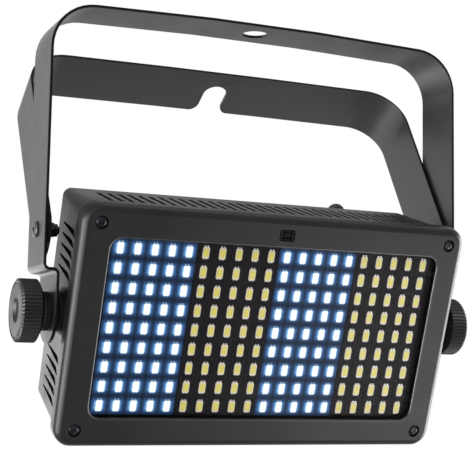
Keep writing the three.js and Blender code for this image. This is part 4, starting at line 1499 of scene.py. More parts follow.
@dataclass
class ClampKnob:
    """A knurled clamp knob with a dished face, on its threaded stud."""

    collar_x: float = 109.9
    chamfer_x: float = 111.3
    grip_x: float = 113.8
    face_x: float = 123.1
    collar_radius: float = 9.5
    neck_radius: float = 10.5
    radius: float = 15.5
    rim: float = 0.8
    rim_in: float = 1.3
    teeth: int = 50
    tooth_depth: float = 0.95
    dish_radius: float = 6.3
    dish_depth: float = 1.6
    # How far inside the dish's rim a step lies, and the share of the depth it goes down.
    dish_steps: Tuple[Pair, Pair] = ((0.9, 0.7), (2.2, 0.3))
    dish_centre: float = 1.6
    groove_radius: float = 13.6
    groove_depth: float = 0.45
    groove_side: float = 0.25
    groove_floor: float = 0.5
    stud_hole: float = 3.3
    stud_reach: float = 8.3

    def build(self, side: Side, finish: Finish) -> None:
        """Model one knob and settle it.

        Args:
            side: The side of the head that it is on.
            finish: The knob's plastic.
        """
        grip = (self.grip_x, self.face_x - self.rim)
        name = f"clamp_knob_{side.word}_knurled"
        piece = rod(name, Axis.X, self.radius, grip, sides=2 * self.teeth)
        self._face(piece)
        self._neck(piece)
        self._knurl(piece)
        piece.cut(
            rod("stud seat", Axis.X, self.stud_hole,
                (self.collar_x - OVERRUN, self.collar_x + self.stud_reach), sides=24)
        )
        piece.round_off(0.18, 2, 55.0)
        if side is Side.LEFT:
            piece.flip()
        piece.smooth(32.0).dress([finish])
        piece.settle(HEAD, f"knob_{side.word}", "knob_plastic", f"clamp_knob_{side.word}")

    def _face(self, piece: Piece) -> None:
        """Chamfer the rim, turn the groove and sink the dish.

        Args:
            piece: The knob.
        """
        groove, dish = self.groove_radius, self.dish_radius
        rings = [
            (self.radius - self.rim_in, self.rim),
            (groove + self.groove_side, 0.0),
            (groove, -self.groove_depth),
            (groove - self.groove_floor, 0.0),
            (groove - self.groove_floor - self.groove_side, self.groove_depth),
            (dish, 0.0),
        ]
        rings += [(dish - inwards, -self.dish_depth * share) for inwards, share in self.dish_steps]
        self._stack(piece, 1.0, rings + [(self.dish_centre, 0.0)])

    def _neck(self, piece: Piece) -> None:
        """Draw the inner side in to the neck and the collar.

        Args:
            piece: The knob.
        """
        rings = (
            (self.neck_radius, self.grip_x - self.chamfer_x),
            (self.collar_radius, 0.0),
            (self.collar_radius, self.chamfer_x - self.collar_x),
            (self.stud_hole + 1.5, 0.0),
        )
        self._stack(piece, -1.0, rings)

    def _stack(self, piece: Piece, way: float, rings: Sequence[Pair]) -> None:
        """Extrude an end face through rings.

        Args:
            piece: The knob.
            way: 1 for the outer end, -1 for the inner end.
            rings: Each ring's radius and its step along the axis.
        """
        ends = [point.co.x for point in piece.obj.data.vertices]
        here = max(ends) if way > 0 else min(ends)
        last = self.radius
        with piece.shaping(
            "FACE", lambda at, normal: way * normal.x > 0.99 and abs(at.x - here) < NEAR
        ):
            for size, step in rings:
                here += way * step
                bpy.ops.mesh.extrude_region_move(
                    TRANSFORM_OT_translate={"value": (way * step, 0.0, 0.0)}
                )
                grow = size / last
                bpy.ops.transform.resize(value=(1.0, grow, grow), center_override=(here, 0.0, 0.0))
                last = size

    def _knurl(self, piece: Piece) -> None:
        """Pull every second line of the grip inwards, which leaves the teeth standing.

        Args:
            piece: The knob.
        """
        pitch = math.pi / self.teeth
        low, high = self.grip_x - NEAR, self.face_x - self.rim + NEAR
        middle = ((low + high) / 2, 0.0, 0.0)
        shrink = 1.0 - self.tooth_depth / self.radius

        def between_teeth(at: Vector) -> bool:
            """Whether a vertex lies on a second line of the grip."""
            on_grip = low < at.x < high and math.hypot(at.y, at.z) > self.radius - 0.1
            return on_grip and round(math.atan2(at.z, at.y) / pitch) % 2 == 1

        with piece.shaping("VERT", between_teeth):
            bpy.ops.transform.resize(value=(1.0, shrink, shrink), center_override=middle)


@dataclass
class FrictionJoint:
    """The washers on both sides of a yoke tab."""

    radius: float = 9.5
    hole: float = 3.3
    inner_x: Pair = (103.9, 105.9)
    outer_x: Pair = (108.0, 109.6)

    def build(self, side: Side, finish: Finish) -> None:
        """Model the two washers of one side and settle them.

        Args:
            side: The side of the head that they are on.
            finish: Their rubber.
        """
        for which, span, place, body in (
            ("inner", self.inner_x, HEAD, "head"),
            ("outer", self.outer_x, AXLE, "yoke"),
        ):
            name = f"{which}_friction_washer_{side.word}"
            piece = ring(f"{name}_pressed", self.radius, self.hole, span)
            piece.round_off(0.12, 1)
            if side is Side.LEFT:
                piece.flip()
            piece.smooth().dress([finish])
            piece.settle(place, body, "black_rubber", name)


# Head, front.


def four_places(x: float, z: float) -> List[Pair]:
    """The four corners at a distance from the middle, in the order of the screws' numbers.

    Args:
        x: The distance along X.
        z: The distance along Z.

    Returns:
        The corners, in X and Z.
    """
    return [(x, z), (-x, z), (-x, -z), (x, -z)]


@dataclass
class FrontBezel:
    """The moulded bezel: a soft-edged frame round the window, with screw recesses."""

    width: float = 207.4
    height: float = 120.7
    corner: float = 9.3
    front: float = -25.5
    back: float = -17.1
    plate: float = -22.9
    rebate: float = -23.9
    edge: float = 4.0
    wall: float = 2.2
    opening: Pair = (177.5, 89.4)
    opening_place: Pair = (0.5, -0.3)
    opening_corner: float = 6.0
    lip: float = 0.9
    window_space: Pair = (184.2, 94.2)
    recess_radius: float = 3.2
    recess_depth: float = 1.7
    boss_radius: float = 4.5
    boss_end: float = -19.3
    receiver_hole: Pair = (8.2, 5.6)
    receiver_corner: float = 1.5

    def build(self, finish: Finish, polish_and_painted_light: Finish) -> None:
        """Model the bezel and settle it.

        Args:
            finish: The grained finish of the moulding.
            polish_and_painted_light: The finish of the opening's lip and walls: glossier, and
                painted a little lighter for the light that falls on them.
        """
        size, depth = (self.width, self.height), (self.front, self.back)
        piece = slab("front_bezel_moulding", size, self.corner, depth, steps=10)
        face = self.front + NEAR
        piece.bevel_edges(lambda a, b: max(a.y, b.y) < face, self.edge, 6)
        inner = (self.width - 2 * self.wall, self.height - 2 * self.wall)
        piece.cut(slab("pocket", inner, self.corner - self.wall, (self.plate, self.back + OVERRUN)))
        boss = (self.plate - BITE, self.boss_end)
        for place in four_places(*BEZEL_SCREWS):
            piece.weld(rod("boss", Axis.Y, self.boss_radius, boss, place, 32))
        through = (self.front - OVERRUN, self.plate + OVERRUN)
        behind = (self.rebate, self.plate + OVERRUN)
        piece.cut(
            slab("opening", self.opening, self.opening_corner, through, self.opening_place),
            slab("rebate", self.window_space, self.opening_corner, behind),
            slab("receiver hole", self.receiver_hole, self.receiver_corner, through, RECEIVER, 5),
        )
        recess = (self.front - OVERRUN, self.front + self.recess_depth)
        for place in four_places(*BEZEL_SCREWS):
            piece.cut(
                rod("recess", Axis.Y, self.recess_radius, recess, place, 40),
                rod("screw hole", Axis.Y, SCREW_HOLE, (self.front, self.boss_end + OVERRUN),
                    place, 20),
            )
        self._soften_lip(piece)
        # The opening's lip and walls take the polish, painted a little lighter for the light from
        # the lit packages.
        piece.smooth(30.0).dress([finish, polish_and_painted_light], self._polished)
        piece.settle(HEAD, "head", "shell_plastic", "front_bezel")

    def _near_opening(self, at: Vector, slack: float) -> bool:
        """Whether a place lies in the opening or within a little of its edge.

        Args:
            at: The place.
            slack: How far outside the opening still counts.

        Returns:
            True if it does.
        """
        away_x = abs(at.x - self.opening_place[0]) - self.opening[0] / 2
        away_z = abs(at.z - self.opening_place[1]) - self.opening[1] / 2
        return max(away_x, away_z) < slack

    def _polished(self, at: Vector, normal: Vector) -> int:
        """1 on the opening's lip and walls, which are polished and painted lighter, and 0
        elsewhere.

        Args:
            at: A face's centre.
            normal: Its direction.

        Returns:
            The number of its finish.
        """
        around = self._near_opening(at, self.lip) and at.y < self.rebate + 0.1
        return 1 if around and abs(normal.y) < 0.99 else 0

    def _soften_lip(self, piece: Piece) -> None:
        """Round the opening's front edge and the rims of the holes in the front face.

        Args:
            piece: The bezel.
        """

        def on_front(a: Vector, b: Vector) -> bool:
            """Whether an edge lies in the front face."""
            return max(abs(a.y - self.front), abs(b.y - self.front)) < NEAR

        piece.bevel_edges(
            lambda a, b: on_front(a, b)
            and self._near_opening(a, 0.1)
            and self._near_opening(b, 0.1),
            self.lip,
            4,
        )
        outer_x, outer_z = self.width / 2 - self.edge - 0.1, self.height / 2 - self.edge - 0.1
        slack = self.lip + 0.3

        def on_small_rim(a: Vector, b: Vector) -> bool:
            """Whether an edge lies round one of the small holes.

            Args:
                a: One end of the edge.
                b: Its other end.

            Returns:
                True if it does.
            """
            inside = max(abs(a.x), abs(b.x)) < outer_x and max(abs(a.z), abs(b.z)) < outer_z
            outside = not self._near_opening(a, slack) and not self._near_opening(b, slack)
            return on_front(a, b) and inside and outside

        piece.bevel_edges(on_small_rim, 0.3, 2)


@dataclass(frozen=True)
class ScrewSet:
    """Four screws of one kind: the head's radius and height, the seat, and each one's turn.

    The way is -1 if the heads face the front, and 1 if they face the back.
    """

    node: str
    head: Pair
    length: float
    seat: float
    way: float
    spot: Pair
    turns: Tuple[float, ...]


@dataclass
class HeadScrews:
    """Pan-head screws with a cross recess: one is modelled, and the others are its copies."""

    bezel: ScrewSet = ScrewSet(
        "bezel_screw", (2.7, 1.3), 16.0, -24.1, -1.0, BEZEL_SCREWS, (24.0, 51.0, 8.0, 37.0)
    )
    board: ScrewSet = ScrewSet(
        "board_screw", (2.1, 0.8), 3.6, -21.2, -1.0, BOARD_SCREWS, (12.0, 40.0, 63.0, 29.0)
    )
    panel: ScrewSet = ScrewSet(
        "panel_screw", (2.7, 1.3), 8.0, 34.2, 1.0, PANEL_SCREWS, (33.0, 5.0, 47.0, 70.0)
    )
    shank_radius: float = 1.5
    edge_share: float = 0.45
    flat_share: float = 0.5
    cross: Pair = (0.5, 0.13)
    cross_floor: float = 0.4

    def model(self, kind: ScrewSet) -> Piece:
        """One screw on the Y axis.

        Args:
            kind: Its set.

        Returns:
            The screw, on the frame's own Y axis.
        """
        radius, rise = kind.head
        name = kind.node.replace("_", " ")
        piece = rod(name, Axis.Y, radius, (0.0, self.edge_share * rise), sides=32)
        dome(piece, Axis.Y, rise, self.flat_share)
        long, short = self.cross[0] * radius, self.cross[1] * radius
        for half in ((long, short), (short, long)):
            low = (-half[0], self.cross_floor * rise, -half[1])
            piece.cut(block("cross", low, (half[0], rise + OVERRUN, half[1])))
        piece.weld(rod("shank", Axis.Y, self.shank_radius, (-kind.length, 0.2 * rise), sides=20))
        if kind.way < 0:
            piece.turn(Axis.Z, 180.0)
        return piece.shift((0.0, kind.seat, 0.0)).round_off(0.07, 1).smooth()

    def build(self, finish: Finish) -> None:
        """Model the screws of the bezel, the board and the rear panel and settle them.

        Args:
            finish: Their metal.
        """
        for kind in (self.bezel, self.board, self.panel):
            first = self.model(kind).dress([finish])
            for number, place in enumerate(four_places(*kind.spot), 1):
                piece = first.copy(f"{kind.node}_{number}_cross")
                piece.turn(Axis.Y, kind.turns[number - 1]).shift((place[0], 0.0, place[1]))
                piece.settle(HEAD, "head", "black_screw_steel", f"{kind.node}_{number}")
            bpy.data.objects.remove(first.obj)


@dataclass
class LedPanel:
    """The LED packages in four banks, their board, and the window before them."""

    grid: LedGrid = LedGrid()
    face: float = -22.1
    strip: Pair = (-21.5, -21.2)
    margin: Pair = (2.5, 1.9)
    rim: float = 0.33
    end_rim: float = 0.8
    sink: float = 0.08
    slope: float = 0.12
    corner: float = 0.6
    tab_x: float = 0.75
    tab_half: float = 0.3
    tab_thick: float = 0.25
    tab_under: float = 0.05
    tab_reach: Pair = (0.7, 0.45)
    window_y: Pair = (-23.6, -22.4)
    window_size: Pair = (183.6, 93.6)
    window_corner: float = 6.0

    def build(self, palette: Palette) -> None:
        """Model the banks and the window and settle them.

        Args:
            palette: Every finish.
        """
        names = ("white_left", "amber_left", "white_right", "amber_right")
        for bank, name in enumerate(names):
            self._bank(bank, name, palette)
        window = slab("clear_window_pane", self.window_size, self.window_corner, self.window_y)
        window.round_off(0.2).smooth().dress([palette.window])
        window.settle(HEAD, "head", "clear_window", "clear_window")

    def _package(self) -> Piece:
        """One package: a rimmed body with its phosphor sunk in, and four solder tabs.

        Returns:
            The package, in the head's middle.
        """
        half_x, half_z = self.grid.width / 2, self.grid.height / 2
        foot = self.strip[0]
        piece = block("package", (-half_x, self.face, -half_z), (half_x, foot, half_z))
        piece.bevel_edges(lambda a, b: abs(a.y - b.y) > 0.1, self.corner, 2)
        shorter = (half_z - self.end_rim) / (half_z - self.rim)
        with piece.shaping("FACE", lambda at, normal: normal.y < -0.99):
            bpy.ops.mesh.inset(thickness=self.rim, depth=0.0)
            bpy.ops.transform.resize(value=(1.0, 1.0, shorter), center_override=(0, self.face, 0))
            bpy.ops.mesh.inset(thickness=self.slope, depth=-self.sink)
        upper = (half_z - self.tab_under, half_z + self.tab_reach[0])
        lower = (-half_z - self.tab_reach[1], -half_z + self.tab_under)
        tabs = []
        for x in (-self.tab_x, self.tab_x):
            for low, high in (upper, lower):
                start = (x - self.tab_half, foot - self.tab_thick, low)
                tabs.append(block("tab", start, (x + self.tab_half, foot, high)))
        return piece.gather(*tabs)

    def _bank(self, bank: int, name: str, palette: Palette) -> None:
        """One bank of packages on its strip of board.

        Args:
            bank: Its number, from the left.
            name: Its name in the node's name.
            palette: Every finish.
        """
        grid = self.grid
        columns = grid.columns // grid.banks
        first = bank * columns
        lit = bank % 2 == 0
        piece = self._package()
        half_x, half_z = grid.width / 2, grid.height / 2
        front = self.face + 0.02
        tab_face = self.strip[0] - self.tab_thick - 0.01

        def part(at: Vector, normal: Vector) -> int:
            """Which of the finishes a face takes.

            Args:
                at: The middle of the face.
                normal: Its normal.

            Returns:
                0 for the rim and body, 1 for the phosphor, 2 for a tab, 3 for a lit one's side.
            """
            if lit and normal.y > -0.5:
                return 3
            if abs(at.z) > half_z + 0.01 or (at.y > tab_face and normal.y < -0.9):
                return 2
            inner = abs(at.x) < half_x - self.rim and abs(at.z) < half_z - self.end_rim
            return 1 if inner and at.y > front and normal.y < -0.5 else 0

        if lit:
            finishes = [palette.lit_led] * 3 + [palette.lit_board]
        else:
            finishes = [palette.led_body, palette.phosphor, palette.tin, palette.led_board]
        piece.smooth().dress(finishes, part)
        piece.shift((grid.x(first), 0.0, grid.z(0)))
        piece.array(columns, (grid.pitch_x, 0.0, 0.0))
        piece.array(grid.rows, (0.0, 0.0, -grid.pitch_z))
        reach_x, reach_z = half_x + self.margin[0], half_z + self.margin[1]
        board = block(
            "strip",
            (grid.x(first) - reach_x, self.strip[0], grid.z(grid.rows - 1) - reach_z),
            (grid.x(first + columns - 1) + reach_x, self.strip[1], grid.z(0) + reach_z),
        )
        board.dress(finishes, lambda at, normal: 3)
        piece.gather(board)
        piece.obj.name = f"led_bank_{name}_packages"
        slot = "white_led" if lit else "amber_led"
        piece.settle(HEAD, "head", slot, f"led_bank_{name}")


@dataclass
class RemoteReceiver:
    """The dark lens of the remote control's receiver, in the bezel's top margin."""

    size: Pair = (7.6, 5.0)
    corner: float = 1.5
    span: Pair = (-25.2, -21.5)
    rim: float = 0.7
    slope: float = 0.35
    sink: float = 1.2
    bulge_radius: float = 1.3
    bulge: Pair = (0.7, 1.6)

    def build(self, finish: Finish) -> None:
        """Model the lens with the domed receiver behind its face and settle it.

        Args:
            finish: The dark lens.
        """
        piece = slab("ir_window_lens", self.size, self.corner, self.span, RECEIVER, 4)
        with piece.shaping("FACE", lambda at, normal: normal.y < -0.99):
            bpy.ops.mesh.inset(thickness=self.rim, depth=0.0)
            bpy.ops.mesh.inset(thickness=self.slope, depth=-self.sink)
        depth = tuple(self.span[0] + step for step in self.bulge)
        bulge = rod("bulge", Axis.Y, self.bulge_radius, depth, RECEIVER, 24)
        piece.weld(bulge).round_off(0.12).smooth().dress([finish])
        piece.settle(HEAD, "head", "dark_lens", "ir_window")


# Head, rear.


@dataclass
class RearShell:
    """The moulded rear shell: flared to the bezel, tapered to the back, and louvred."""

    front: float = -16.8
    back: float = 33.9
    front_size: Pair = (205.2, 118.8)
    back_size: Pair = (196.0, 110.6)
    front_corner: float = 9.0
    back_corner: float = 4.0
    back_round: float = 1.5
    flare: float = 0.75
    # Places along Y, and the share of the flare that the wall is drawn in by there.
    flare_steps: Tuple[Pair, ...] = (
        (-16.8, 0.0), (-15.2, 0.1), (-13.2, 0.45), (-11.2, 0.8), (-8.4, 1.0), (16.0, 0.5)
    )
    wall: float = 2.2
    back_wall: float = 30.9
    tongue: Pair = (-19.8, -15.4)
    tongue_size: Pair = (202.4, 115.7)
    tongue_corner: float = 6.8
    tongue_thick: float = 1.4
    vent_pitch: float = 5.4
    vent_width: float = 2.3
    vent_y: Pair = (-7.6, 21.4)
    top_vents: int = 32
    side_vents: int = 5
    side_vent_width: float = 3.0
    side_vent_z: float = 21.0
    side_vent_drop: float = 2.0
    side_vent_y: Pair = (-4.2, -0.6)
    # For the front and the rear end of a side slot, how far it droops, and its share of the
    # slot's width.
    side_vent_ends: Tuple[Pair, Pair] = ((1.2, 0.4), (0.6, 0.35))
    vent_corner: float = 0.9
    boss_radius: float = 9.5
    boss_face: float = 103.6
    boss_length: float = 16.0
    insert_radius: float = 5.3
    cone_radii: Pair = (15.0, 10.4)
    cone_behind: Pair = (6.0, 1.0)
    recess: Pair = (172.0, 86.0)
    recess_y: float = 32.4
    recess_corner: float = 3.0
    ledge: Pair = (8.0, 3.0)

    def section(self, y: float, inset: float, flare: float = 0.0) -> Section:
        """The shell's outline at a place along Y.

        Args:
            y: The place.
            inset: How far inside the straight taper the outline lies.
            flare: How far it is drawn in behind the flared front edge.

        Returns:
            The rounded rectangle.
        """
        share = (y - self.front) / (self.back - self.front)
        mixed = [a + (b - a) * share for a, b in zip(self.front_size, self.back_size)]
        corner = self.front_corner + (self.back_corner - self.front_corner) * share
        drawn = inset + flare
        return Section(mixed[0] - 2 * drawn, mixed[1] - 2 * drawn, max(corner - drawn, 1.0), y)

    def build(self, finish: Finish) -> None:
        """Model the shell and settle it.

        Args:
            finish: The grained finish of the moulding.
        """
        sections = [self.section(y, 0.0, share * self.flare) for y, share in self.flare_steps]
        sections += [
            self.section(self.back - self.back_round, 0.0),
            self.section(self.back - 0.3 * self.back_round, 0.3 * self.back_round),
            self.section(self.back, self.back_round),
        ]
        piece = loft("rear_shell_moulding", sections)
        inner = [self.section(y, self.wall) for y in (self.front - OVERRUN, self.back_wall)]
        piece.cut(loft("inside", inner))
        piece.weld(self._tongue())
        for side in Side:
            piece.weld(self._pivot_boss(side))
        ledge = (self.recess[0] - 2 * self.ledge[0], self.recess[1] - 2 * self.ledge[1])
        through = (self.back_wall - OVERRUN, self.back + OVERRUN)
        recess = (self.recess_y, self.back + OVERRUN)
        piece.cut(
            slab("panel opening", ledge, self.recess_corner, through),
            slab("panel recess", self.recess, self.recess_corner, recess),
        )
        for place in four_places(*PANEL_SCREWS):
            piece.cut(rod("panel screw hole", Axis.Y, SCREW_HOLE, through, place, 20))
        self._louvre(piece)
        piece.smooth(30.0).dress([finish])
        piece.settle(HEAD, "head", "shell_plastic", "rear_shell")

    def _tongue(self) -> Piece:
        """The thin wall that centres the shell in the bezel.

        Returns:
            The tongue.
        """
        size, thick = self.tongue_size, self.tongue_thick
        tongue = slab("tongue", size, self.tongue_corner, (self.tongue[0], self.front + BITE))
        space = (size[0] - 2 * thick, size[1] - 2 * thick)
        span = (self.tongue[0] - OVERRUN, self.front + OVERRUN)
        return tongue.cut(slab("space", space, self.tongue_corner - thick, span))

    def _pivot_boss(self, side: Side) -> Piece:
        """The round boss that a clamp knob pulls the yoke against, on a low cone.

        Args:
            side: The side of the head that it is on.

        Returns:
            The boss.
        """
        face = self.boss_face
        root = face - self.boss_length
        boss = rod("boss", Axis.X, self.boss_radius, (root, face), sides=56)
        foot, top = self.cone_radii
        behind = (face - self.cone_behind[0], face - self.cone_behind[1])
        boss.weld(rod("cone", Axis.X, foot, behind, sides=56, end_radius=top))
        boss.cut(rod("insert seat", Axis.X, self.insert_radius, (root - 1, face + 1), sides=32))
        boss.round_off(0.3, 2, 55.0)
        return boss if side is Side.RIGHT else boss.flip()

    def _louvre(self, piece: Piece) -> None:
        """Cut the slots through all four walls, rounding the top slots' corners and drawing the
        side slots' ends to points.

        Args:
            piece: The shell.
        """
        tall = self.front_size[1] / 2 + OVERRUN
        wide = self.front_size[0] / 2 + OVERRUN
        low, high = self.vent_y
        half = self.vent_width / 2
        deep_z = self.back_size[1] / 2 - self.wall - OVERRUN
        deep_x = self.back_size[0] / 2 - self.wall - OVERRUN
        first = -(self.top_vents - 1) / 2 * self.vent_pitch
        for sign in (-1, 1):
            z = sorted((sign * deep_z, sign * tall))
            cutter = block("top slot", (first - half, low, z[0]), (first + half, high, z[1]))
            cutter.bevel_edges(lambda a, b: abs(a.z - b.z) > 1.0, self.vent_corner, 3)
            cutter.array(self.top_vents, (self.vent_pitch, 0.0, 0.0))
            piece.cut(cutter)
            for up in (-1, 1):
                x = sorted((sign * deep_x, sign * wide))
                middle = up * self.side_vent_z - self.side_vent_drop
                reach = self.side_vent_width / 2
                start = (x[0], self.side_vent_y[0], middle - reach)
                end = (x[1], self.side_vent_y[1], middle + reach)
                cutter = block("side slot", start, end)
                for way, y, (drop, share) in zip((-1.0, 1.0), (low, high), self.side_vent_ends):
                    self._point(cutter, way, (y, middle - drop), share)
                cutter.array(self.side_vents, (0.0, 0.0, up * self.vent_pitch))
                piece.cut(cutter)

    @staticmethod
    def _point(cutter: Piece, way: float, end: Pair, share: float) -> None:
        """Draw one end of a side slot out to a blunt point.

        Args:
            cutter: What cuts the slot.
            way: -1 for the front end, 1 for the rear end.
            end: Where the slot ends, in Y and Z.
            share: The end's width, as a share of the slot's.
        """
        points = [point.co for point in cutter.obj.data.vertices]
        start = max(way * point.y for point in points) * way
        level = sum(point.z for point in points if abs(point.y - start) < NEAR) / 4
        move = (0.0, end[0] - start, end[1] - level)
        with cutter.shaping("FACE", lambda at, normal: way * normal.y > 0.9):
            bpy.ops.mesh.extrude_region_move(TRANSFORM_OT_translate={"value": move})
            bpy.ops.transform.resize(value=(1.0, 1.0, share), center_override=(0.0, *end))


@dataclass
class RearPanel:
    """The recessed rear panel with its cut-outs."""

    size: Pair = (171.4, 85.4)
    corner: float = 2.7
    span: Pair = (32.7, 33.9)
    mains_hole: Pair = (27.6, 20.0)
    data_hole: float = 11.5
    fuse_hole: float = 6.7
    display_hole: Pair = (40.6, 16.6)
    button_hole: float = 3.5
    eye_hole: float = 2.0
    latch: Tuple[Pair, Pair] = ((32.7, 41.3), (-4.9, -0.9))

    def build(self, finish: Finish) -> None:
        """Model the panel and settle it.

        Args:
            finish: Its coat.
        """
        piece = slab("rear_panel_plate", self.size, self.corner, self.span)
        through = (self.span[0] - OVERRUN, self.span[1] + OVERRUN)
        for place in (INLET, OUTLET):
            piece.cut(slab("mains hole", self.mains_hole, 3.0, through, place, 4))
        for place in (DATA_INPUT, DATA_OUTPUT):
            piece.cut(rod("data hole", Axis.Y, self.data_hole, through, place, 40))
        piece.cut(rod("fuse hole", Axis.Y, self.fuse_hole, through, FUSE, 32))
        piece.cut(slab("display hole", self.display_hole, 1.5, through, DISPLAY, 4))
        for place in BUTTONS:
            piece.cut(rod("button hole", Axis.Y, self.button_hole, through, place, 32))
        for x in (EYE_X - EYE_ARCH, EYE_X + EYE_ARCH):
            piece.cut(rod("eye hole", Axis.Y, self.eye_hole, through, (x, EYE_FOOT_Z), 24))
        for place in four_places(*PANEL_SCREWS):
            piece.cut(rod("screw hole", Axis.Y, SCREW_HOLE, through, place, 20))
        across, up = self.latch
        low, high = (across[0], through[0], up[0]), (across[1], through[1], up[1])
        piece.cut(block("latch slot", low, high))
        piece.round_off(0.18).smooth().dress([finish])
        piece.settle(HEAD, "head", "yoke_steel", "rear_panel")


@dataclass
class MainsConnector:
    """A mains inlet or outlet: a flange, a body, and pins or a slotted core."""

    place: Pair
    flange: Pair = (31.0, 24.0)
    flange_y: Pair = (34.2, 36.6)
    body: Pair = (27.0, 19.4)
    body_y: float = 12.2
    cavity: Pair = (24.6, 16.8)
    cavity_floor: float = 19.6
    core: Pair = (21.5, 13.6)
    core_inset: float = 0.3
    corner: float = 3.0
    pin_spread: float = 7.0
    pin_drop: float = 2.0
    pin_half: Pair = (1.0, 2.0)
    pin_end: float = 32.6
    slot_floor: float = 23.6
    slot_slack: float = 0.3

    def _rounded(self, name: str, size: Pair, span: Pair) -> Piece:
        """A rounded block in the connector's middle."""
        return slab(name, size, self.corner, span, self.place, 6)

    def shell(self, name: str) -> Piece:
        """The flange and body with its cavity.

        Args:
            name: The piece's name.

        Returns:
            The shell.
        """
        piece = self._rounded(name, self.flange, self.flange_y)
        face = self.flange_y[1]
        piece.bevel_edges(lambda a, b: min(a.y, b.y) > face - NEAR, 0.7, 3)
        piece.weld(self._rounded("body", self.body, (self.body_y, self.flange_y[0] + BITE)))
        return piece.cut(self._rounded("cavity", self.cavity, (self.cavity_floor, face + OVERRUN)))

    def pins(self) -> List[Pair]:
        """Where the three pins lie.

        Returns:
            Their middles, in X and Z.
        """
        x, z = self.place
        spread, drop = self.pin_spread, self.pin_drop
        return [(x - spread, z + drop), (x, z - drop), (x + spread, z + drop)]

    def upright(self, name: str, spot: Pair, span: Pair, slack: float) -> Piece:
        """A flat pin, or with slack the slot for one.

        Args:
            name: The piece's name.
            spot: Its middle, in X and Z.
            span: Where it starts and ends along Y.
            slack: How much larger it is all round.

        Returns:
            The pin or the cutter.
        """
        half_x, half_z = self.pin_half[0] + slack, self.pin_half[1] + slack
        low = (spot[0] - half_x, span[0], spot[1] - half_z)
        return block(name, low, (spot[0] + half_x, span[1], spot[1] + half_z))

    def build_inlet(self, palette: Palette) -> None:
        """Model the inlet with its pins and settle it.

        Args:
            palette: Every finish.
        """
        piece = self.shell("power_inlet_moulding").round_off(0.15)
        piece.smooth().dress([palette.nylon])
        for spot in self.pins():
            pin = self.upright("pin", spot, (self.cavity_floor, self.pin_end), 0.0)
            pin.bevel_edges(lambda a, b: min(a.y, b.y) > self.pin_end - 0.1, 0.5, 2)
            pin.smooth().dress([palette.nylon, palette.tin], lambda at, normal: 1)
            piece.gather(pin)
        piece.settle(HEAD, "head", "shell_plastic", "power_inlet")

    def build_outlet(self, palette: Palette) -> None:
        """Model the outlet with its slotted core and settle it.

        Args:
            palette: Every finish.
        """
        piece = self.shell("power_outlet_moulding")
        face = self.flange_y[1] - self.core_inset
        core = self._rounded("core", self.core, (self.cavity_floor - BITE, face))
        for spot in self.pins():
            core.cut(self.upright("slot", spot, (self.slot_floor, face + OVERRUN), self.slot_slack))
        piece.weld(core).round_off(0.2).smooth().dress([palette.nylon])
        piece.settle(HEAD, "head", "shell_plastic", "power_outlet")


